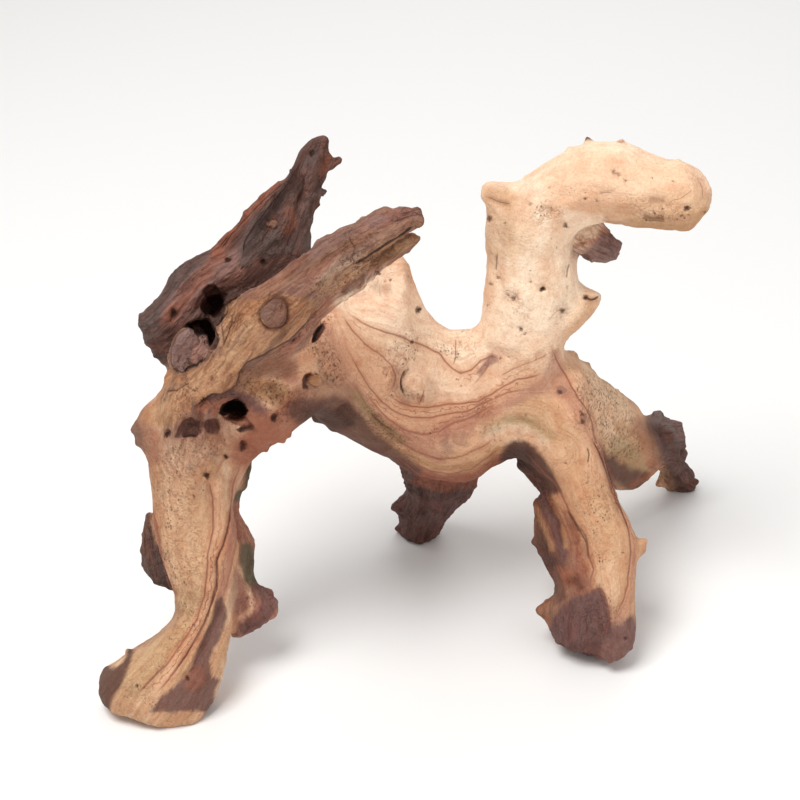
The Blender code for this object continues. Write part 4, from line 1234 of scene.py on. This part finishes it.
def lines_near(sheet, shown, lines, reach):
    """For each point the signed distance to the nearest of these lines, in metres, and its strength."""
    off = np.full(len(sheet), 1.0)
    ink = np.zeros(len(sheet))
    for strength, line in lines:
        near = around(sheet, line, reach * 2)
        far, along = near_line(sheet[near], line)
        ends = smoothstep(-0.02, 0.08, along) * smoothstep(1.02, 0.92, along)
        far = far * SHEET_STEP
        closer = np.abs(far) < np.abs(off[near])
        off[near[closer]] = far[closer]
        ink[near[closer]] = (strength * ends * smoothstep(2, 1, np.abs(far) / (reach * SHEET_STEP)))[closer]
    return off, ink * smoothstep(0.1, 0.4, shown)


def edges_near(skin):
    """For each point the signed distance in metres to the nearest lip, patch edge or knot's rim,
    positive on the side that stands up, and how strongly that edge is marked with painted shade below it
    and with relief."""
    sheet = skin.sheet
    off = np.full(len(sheet), 1.0)
    ink = np.zeros(len(sheet))
    found = []
    for tall, _, line in LIPS:
        near = around(sheet, line, 8)
        far, along = near_line(sheet[near], line)
        ends = smoothstep(0, 0.1, along) * smoothstep(1, 0.9, along)
        found.append((near, far, ends * min(1.0, 0.45 + tall * 0.2)))
    for tall, _, strength, outline in PATCHES:
        near = around(sheet, outline, 8)
        marked = strength * min(1, abs(tall) / 6)
        found.append((near, depth_inside(sheet[near], outline) * math.copysign(1, tall), marked))
    for right, down, radius, tall, rim in KNOTS:
        far = (1.05 - uneven_round(sheet, right, down, radius)) * radius
        near = np.flatnonzero(far > -8)
        found.append((near, far[near], min(0.6, rim * 0.12)))
    for near, far, strength in found:
        far = far * SHEET_STEP
        closer = np.abs(far) < np.abs(off[near])
        off[near[closer]] = far[closer]
        ink[near[closer]] = (strength * smoothstep(6 * MM, 4 * MM, np.abs(far)))[closer]
    return off, ink * smoothstep(0.05, 0.3, skin.shown)


def pits_near(skin):
    """For each point its distance from the nearest pit's middle, in radii, and how much painted shade that
    pit gets, more for a deeper pit.
    """
    best = np.full(len(skin.points), 3.0)
    ink = np.zeros(len(skin.points))
    for right, down, radius, deep in PITS:
        far = uneven_round(skin.sheet, right, down, radius)
        closer = far < best
        best[closer] = far[closer]
        ink[closer] = min(1.0, 0.3 + 0.25 * deep)
    return best, ink * smoothstep(0.1, 0.3, skin.shown)


def worminess(skin):
    """How much worms and rot have opened the wood at each point."""
    rot = smoothstep(0.1, 0.5, noise_on(skin.points, "rot"))
    wormy = (0.15 + 0.5 * rot) * (1 - 0.7 * skin.plain)
    for radius, strength, line in WORMY:
        near = around(skin.sheet, line, radius * 1.5)
        off, _ = near_line(skin.sheet[near], line)
        weight = strength * smoothstep(1.3, 0.6, np.abs(off) / radius) * skin.shown[near]
        wormy[near] = np.maximum(wormy[near], weight)
    return wormy


def keep_attribute(mesh, name, kind, values):
    """Stores one value for each point of the mesh."""
    layer = mesh.attributes.new(name, kind, "POINT")
    field = {"FLOAT": "value", "FLOAT_VECTOR": "vector", "FLOAT_COLOR": "color"}[kind]
    layer.data.foreach_set(field, np.ascontiguousarray(values, np.float32).ravel())


def add_node(tree, kind, settings=None, links=None, output=0):
    """Adds a node and gives back one of its outputs. Settings go to its own properties, or to its
    inputs by name or number, and links go to inputs by name or number."""
    made = tree.nodes.new(kind)
    for name, value in (settings or {}).items():
        if isinstance(name, int) or name in made.inputs:
            made.inputs[name].default_value = value
        else:
            setattr(made, name, value)
    for name, socket in (links or {}).items():
        tree.links.new(socket, made.inputs[name])
    return made.outputs[output] if len(made.outputs) else None


def new_material(name):
    material = bpy.data.materials.new(name)
    material.use_nodes = True
    material.node_tree.nodes.clear()
    return material, material.node_tree


def weathered_root_wood(surface):
    """Dry, sandblasted hardwood root: matt and a little chalky, with faint streaks along its growth
    layers, thin dark veins, painted shade in its checks, pits and carved hollows and under its undercut
    edges, and crumbled, pored patches where worms and rot have opened it."""
    material, tree = new_material("Weathered two-tone root wood")
    read = {
        name: add_node(tree, "ShaderNodeAttribute", {"attribute_name": name}, output="Fac")
        for name in (
            "flow", "torn", "plain", "wormy", "sunk", "vein", "vein_ink", "crack", "crack_ink",
            "edge", "edge_ink", "pit", "pit_ink",
        )
    }
    colour = add_node(tree, "ShaderNodeAttribute", {"attribute_name": "stain"}, output="Color")
    grain = add_node(tree, "ShaderNodeAttribute", {"attribute_name": "grain"}, output="Vector")
    place = add_node(tree, "ShaderNodeTexCoord", output="Object")

    # Layer space: one way counts growth layers, 12 mm to a level, and the rest is shortened, so that
    # what is drawn in it runs along the layers. Limb space is drawn out along each limb instead.
    level = add_node(tree, "ShaderNodeMath", {"operation": "MULTIPLY", 1: 12 * MM}, {0: read["flow"]})
    level = add_node(tree, "ShaderNodeCombineXYZ", links={"X": level})
    slow = add_node(tree, "ShaderNodeVectorMath", {"operation": "SCALE", "Scale": 0.09}, {0: place})
    layer_space = add_node(tree, "ShaderNodeVectorMath", {"operation": "ADD"}, {0: level, 1: slow})
    drawn_out = {"operation": "MULTIPLY", 1: (1, 1, 0.14)}
    limb_space = add_node(tree, "ShaderNodeVectorMath", drawn_out, {0: grain})
    upright = add_node(tree, "ShaderNodeVectorMath", {"operation": "MULTIPLY", 1: (1, 1, 0.6)}, {0: place})

    # Noises: name, space, width in mm, detail, distortion
    for name, space, wide, detail, bend in (
        ("layer_streak", layer_space, 3.0, 3, 0.2),
        ("layer_fibre", layer_space, 0.9, 2, 0.0),
        ("limb_streak", limb_space, 5.0, 3, 0.3),
        ("torn_fibre", limb_space, 2.6, 3, 0.3),
        ("weathering", limb_space, 9.0, 3, 0.5),
        ("drift", place, 25.0, 1, 0.0),
        ("cloud", place, 34.0, 3, 0.0),
        ("blotch", place, 13.0, 4, 0.3),
        ("dapple", place, 4.0, 3, 1.2),
        ("speck", place, 1.5, 3, 0.0),
    ):
        settings = {"Scale": 1 / (wide * MM), "Detail": detail, "Roughness": 0.6, "Distortion": bend}
        read[name] = add_node(tree, "ShaderNodeTexNoise", settings, {"Vector": space})
    # Worm pores, about 1 mm wide and 2 mm tall
    settings = {"Scale": 1 / (2.2 * MM), "Randomness": 1.0}
    read["cells"] = add_node(tree, "ShaderNodeTexVoronoi", settings, {"Vector": upright}, "Distance")

    # Sums and products: name, operation, then its terms, each a number or what has been read above
    sums = (
        ("wave", "MULTIPLY_ADD", "drift", 0.3, "flow"),
        ("waves", "MULTIPLY", "wave", 2.0),
        ("folded", "PINGPONG", "waves", 0.5),
        ("layer_step", "FRACT", "wave"),
        ("banded", "SUBTRACT", 1, "plain"),
        ("eaten", "MULTIPLY_ADD", "wormy", 0.26, "blotch"),
        ("off_vein", "ABSOLUTE", "vein"),
        ("vein_reach", "MULTIPLY", "speck", surface.vein_width * 2.2),
        ("vein_share", "DIVIDE", "off_vein", "vein_reach"),
        ("off_crack", "ABSOLUTE", "crack"),
        ("crack_edge", "MULTIPLY", "speck", surface.crack_width * 2.6),
        ("crack_reach", "MULTIPLY", "crack_edge", "crack_ink"),
        ("crack_share", "DIVIDE", "off_crack", "crack_reach"),
        ("edge_foot", "ADD", "edge", 0.4 * MM),
        ("off_edge", "ABSOLUTE", "edge_foot"),
        ("ragged_pit", "MULTIPLY_ADD", "speck", 1.4, "pit"),
    )
    for name, operation, *terms in sums:
        numbers = {i: term for i, term in enumerate(terms) if not isinstance(term, str)}
        links = {i: read[term] for i, term in enumerate(terms) if isinstance(term, str)}
        read[name] = add_node(tree, "ShaderNodeMath", {"operation": operation, **numbers}, links)

    # Masks: name, what it reads, where that gives 0, where it gives 1, and what the mask is kept to
    for name, source, low, high, kept in (
        ("ring_line", "folded", 0.10, 0.0, "banded"),
        ("ring_line", "blotch", 0.45, 0.6, "ring_line"),
        ("blush", "layer_step", 0.45, 0.0, "banded"),
        ("layer_streak", "layer_streak", 0.60, 0.35, "banded"),
        ("layer_fibre", "layer_fibre", 0.60, 0.35, "banded"),
        ("limb_streak", "limb_streak", 0.62, 0.38, None),
        ("torn_streak", "torn_fibre", 0.56, 0.36, "torn"),
        ("greyed", "weathering", 0.50, 0.62, "torn"),
        ("reddened", "weathering", 0.47, 0.36, "torn"),
        ("clouded", "cloud", 0.46, 0.62, None),
        ("blotched", "blotch", 0.54, 0.34, None),
        ("grit", "speck", 0.52, 0.34, None),
        ("crumbs", "dapple", 0.52, 0.60, "wormy"),
        ("flecks", "dapple", 0.46, 0.38, "wormy"),
        ("pores", "cells", 0.36, 0.16, None),
        ("pores", "eaten", 0.63, 0.74, "pores"),
        ("vein", "vein_share", 1.0, 0.2, "vein_ink"),
        ("halo", "off_vein", surface.vein_width * 5, 0.0, "vein_ink"),
        ("crack", "crack_share", 1.0, 0.4, "crack_ink"),
        # Painted shade on the low side of each lip, patch edge and knot rim, and a painted shadow line
        # along its foot
        ("under_edge_shade", "edge", -4.0 * MM, -0.3 * MM, "edge_ink"),
        ("under_edge_shade", "edge", 0.3 * MM, -0.1 * MM, "under_edge_shade"),
        ("edge_shadow_line", "off_edge", 0.9 * MM, 0.2 * MM, "edge_ink"),
        ("edge_step", "edge", -0.6 * MM, 0.6 * MM, "edge_ink"),
        ("pit", "ragged_pit", 1.8, 1.1, "pit_ink"),
    ):
        settings = {"interpolation_type": "SMOOTHSTEP", "From Min": low, "From Max": high}
        mask = add_node(tree, "ShaderNodeMapRange", settings, {"Value": read[source]})
        if kept:
            mask = add_node(tree, "ShaderNodeMath", {"operation": "MULTIPLY"}, {0: mask, 1: read[kept]})
        read[name] = mask

    # Coats of colour over the stain: mask, how much of it, blend and colour
    for mask, share, blend, tint in (
        ("clouded", 0.4, "MULTIPLY", "#F7E4DC"),
        ("blush", 0.25, "MULTIPLY", "#F3DCD3"),
        ("layer_streak", 0.32, "MULTIPLY", "#E6D0C4"),
        ("layer_fibre", 0.2, "MULTIPLY", "#E6D2C6"),
        ("limb_streak", 0.3, "MULTIPLY", "#EBD9CF"),
        ("blotched", 0.4, "MULTIPLY", "#E6D0C5"),
        ("torn_streak", 0.65, "MULTIPLY", "#B09A92"),
        ("greyed", 0.3, "MIX", "#6B5B57"),
        ("reddened", 0.3, "MIX", "#8C5848"),
        ("grit", 0.35, "MULTIPLY", "#DCC4B8"),
        ("ring_line", 0.3, "MULTIPLY", "#D3B2A6"),
        ("halo", 0.45, "MULTIPLY", "#E6C4B8"),
        # Painted shade in the carved hollows
        ("sunk", 0.75, "MULTIPLY", "#A38A80"),
        ("crumbs", 0.5, "MULTIPLY", "#A07A64"),
        ("flecks", 0.7, "DODGE", "#76706A"),
        ("vein", 0.75, "MIX", "#8A5647"),
        ("pores", 0.7, "MIX", "#6A4635"),
        # Painted shade below the raised edges, and a painted shadow line at their foot
        ("under_edge_shade", 0.5, "MULTIPLY", "#9C7A6C"),
        ("edge_shadow_line", 0.7, "MIX", "#4A3129"),
        # Painted shade in the pits
        ("pit", 0.9, "MIX", "#432B24"),
        # Painted shade in the cracks and creases
        ("crack", 0.9, "MIX", "#33211C"),
    ):
        factor = add_node(tree, "ShaderNodeMath", {"operation": "MULTIPLY", 1: share}, {0: read[mask]})
        settings = {"data_type": "RGBA", "blend_type": blend, 7: (*linear(tint), 1)}
        colour = add_node(tree, "ShaderNodeMix", settings, {0: factor, 6: colour}, 2)

    # Relief too fine for the mesh: what it follows, what that is kept to, and its height in mm
    height = add_node(tree, "ShaderNodeMath", {"operation": "MULTIPLY", 1: 0.4}, {0: read["speck"]})
    for part, kept, tall in (
        ("layer_streak", None, -0.25),
        ("layer_fibre", None, -0.12),
        ("blotch", None, 2.4),
        ("dapple", None, 0.8),
        ("torn_fibre", "torn", 2.4),
        ("dapple", "wormy", 1.8),
        ("pores", None, -0.6),
        ("vein", None, -0.3),
        ("crack", None, -1.0),
        ("edge_step", None, 1.2),
        ("pit", None, -0.6),
    ):
        part = read[part]
        if kept:
            part = add_node(tree, "ShaderNodeMath", {"operation": "MULTIPLY"}, {0: part, 1: read[kept]})
        settings = {"operation": "MULTIPLY_ADD", 1: tall}
        height = add_node(tree, "ShaderNodeMath", settings, {0: part, 2: height})
    normal = add_node(tree, "ShaderNodeBump", {"Strength": 1.0, "Distance": 1.0 * MM}, {"Height": height})
    settings = {"Roughness": surface.roughness, "IOR": 1.45, "Specular IOR Level": 0.3}
    links = {"Base Color": colour, "Normal": normal}
    shader = add_node(tree, "ShaderNodeBsdfPrincipled", settings, links)
    add_node(tree, "ShaderNodeOutputMaterial", links={"Surface": shader})
    return material


def pale_floor(colour):
    """Painted studio floor: flat and pale, so that only soft shadows show on it."""
    material, tree = new_material("Matt studio paint")
    shader = add_node(tree, "ShaderNodeBsdfPrincipled", {"Base Color": (*colour, 1), "Roughness": 0.9})
    add_node(tree, "ShaderNodeOutputMaterial", links={"Surface": shader})
    return material


class DRIFTWOOD_OT_carve(Operator):
    """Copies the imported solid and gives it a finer, carved and weathered skin"""

    bl_idname = "driftwood.carve"
    bl_label = "Carve the wood"

    def execute(self, context):
        surface = context.scene.driftwood_surface
        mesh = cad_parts["driftwood"].data.copy()
        mesh.materials.clear()
        piece = bpy.data.objects.new("driftwood_wood", mesh)
        context.collection.objects.link(piece)
        only_select(piece)
        bpy.ops.object.mode_set(mode="EDIT")
        bpy.ops.mesh.select_all(action="SELECT")
        bpy.ops.mesh.remove_doubles(threshold=1e-6)
        bpy.ops.object.mode_set(mode="OBJECT")
        apply_modifier(piece, "SUBSURF", levels=1, render_levels=1)
        apply_modifier(piece, "REMESH", mode="VOXEL", voxel_size=surface.skin_cell, adaptivity=0)
        apply_modifier(piece, "SMOOTH", factor=0.5, iterations=6)
        mesh = piece.data
        skin = Skin(mesh)
        features = feature_relief(skin)
        height = features + thorn_relief(skin) + weathered_relief(skin, surface)
        # Painted shade in the carved hollows: deeper hollows are darker
        keep_attribute(mesh, "sunk", "FLOAT", smoothstep(SUNK_SHADE_FROM, SUNK_SHADE_FULL, -features))
        soles = smoothstep(0, SOLE, skin.points[:, 2])
        points = skin.points + skin.normals * (height * soles)[:, None]
        points[:, 2] = np.maximum(points[:, 2], 0)
        move_points(mesh, points)
        share = surface.most_triangles / (len(mesh.polygons) * 2)
        if share < 1:
            apply_modifier(piece, "DECIMATE", ratio=share)
        only_select(piece)
        bpy.ops.object.shade_smooth()
        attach(piece, "root")
        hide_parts("driftwood")
        return {"FINISHED"}


class DRIFTWOOD_OT_tone(Operator):
    """Gives each point its wood tone and its place in the grain, and the piece its material"""

    bl_idname = "driftwood.tone"
    bl_label = "Tone the wood"

    def execute(self, context):
        scene = context.scene
        mesh = bpy.data.objects["driftwood_wood"].data
        skin = Skin(mesh)
        tone = spread_to_back(skin, *tones_of(scene.driftwood_tones, skin))
        keep_attribute(mesh, "stain", "FLOAT_COLOR", np.column_stack([tone, np.ones(len(tone))]))
        keep_attribute(mesh, "grain", "FLOAT_VECTOR", skin.grain.blended)
        keep_attribute(mesh, "flow", "FLOAT", skin.flow)
        for name in ("torn", "plain", "wormy"):
            keep_attribute(mesh, name, "FLOAT", getattr(skin, name))
        veins = [(strength, line) for _, strength, line in VEINS]
        for name, lines in (("vein", veins), ("crack", CRACKS)):
            off, ink = lines_near(skin.sheet, skin.shown, lines, 4)
            keep_attribute(mesh, name, "FLOAT", off)
            keep_attribute(mesh, name + "_ink", "FLOAT", ink)
        for name, (off, ink) in (("edge", edges_near(skin)), ("pit", pits_near(skin))):
            keep_attribute(mesh, name, "FLOAT", off)
            keep_attribute(mesh, name + "_ink", "FLOAT", ink)
        mesh.materials.append(weathered_root_wood(scene.driftwood_surface))
        return {"FINISHED"}


class DRIFTWOOD_OT_stage(Operator):
    """Builds the pale floor, the soft studio light and the camera"""

    bl_idname = "driftwood.stage"
    bl_label = "Set the stage"

    def execute(self, context):
        settings = context.scene.driftwood_stage
        bpy.ops.object.select_all(action="DESELECT")
        bpy.ops.mesh.primitive_plane_add(size=12, location=(0, 0, 0))
        floor = context.object
        floor.name = "floor"
        floor.data.materials.append(pale_floor(settings.floor_colour))
        # Lights: name, place, side in metres and power in watts
        for name, spot, size, power in (
            ("key_light", (-0.75, -0.8, 2.2), 1.1, settings.key_power),
            ("fill_light", (1.6, -1.4, 1.0), 1.8, settings.fill_power),
            ("back_light", (0.3, 1.7, 1.7), 1.6, settings.fill_power),
        ):
            bpy.ops.object.light_add(type="AREA", location=spot)
            light = context.object
            light.name = name
            light.data.size = size
            light.data.energy = power
            light.rotation_euler = (Vector((0, 0, 0.17)) - Vector(spot)).to_track_quat("-Z", "Y").to_euler()
        world = bpy.data.worlds.new("Studio room")
        world.use_nodes = True
        world.node_tree.nodes["Background"].inputs["Color"].default_value = (1, 1, 1, 1)
        world.node_tree.nodes["Background"].inputs["Strength"].default_value = settings.sky_strength
        context.scene.world = world
        context.scene.view_settings.view_transform = "Standard"
        look, _, eye = view_axes()
        bpy.ops.object.camera_add(location=eye, rotation=look.to_track_quat("-Z", "Y").to_euler())
        camera = context.object
        camera.data.sensor_width = 36
        camera.data.lens = 36 * VIEW_DISTANCE / (800 * SHEET_STEP)
        camera.data.clip_start = 0.05
        context.scene.camera = camera
        return {"FINISHED"}


class DRIFTWOOD_PT_panel(Panel):
    bl_idname = "DRIFTWOOD_PT_panel"
    bl_label = "Driftwood"
    bl_space_type = "VIEW_3D"
    bl_region_type = "UI"
    bl_category = "Driftwood"

    def draw(self, context):
        layout = self.layout
        for operator in OPERATORS:
            layout.operator(operator.bl_idname)
        for group in ("driftwood_surface", "driftwood_tones", "driftwood_stage"):
            settings = getattr(context.scene, group)
            for name in settings.__annotations__:
                layout.prop(settings, name)


OPERATORS = (DRIFTWOOD_OT_carve, DRIFTWOOD_OT_tone, DRIFTWOOD_OT_stage)
CLASSES = (DriftwoodTones, DriftwoodSurface, DriftwoodStage, *OPERATORS, DRIFTWOOD_PT_panel)


def register():
    for cls in CLASSES:
        bpy.utils.register_class(cls)
    bpy.types.Scene.driftwood_tones = PointerProperty(type=DriftwoodTones)
    bpy.types.Scene.driftwood_surface = PointerProperty(type=DriftwoodSurface)
    bpy.types.Scene.driftwood_stage = PointerProperty(type=DriftwoodStage)


def unregister():
    del bpy.types.Scene.driftwood_stage
    del bpy.types.Scene.driftwood_surface
    del bpy.types.Scene.driftwood_tones
    for cls in reversed(CLASSES):
        bpy.utils.unregister_class(cls)


def main():
    register()
    bpy.ops.driftwood.carve()
    bpy.ops.driftwood.tone()
    bpy.ops.driftwood.stage()


if __name__ == "__main__":
    main()
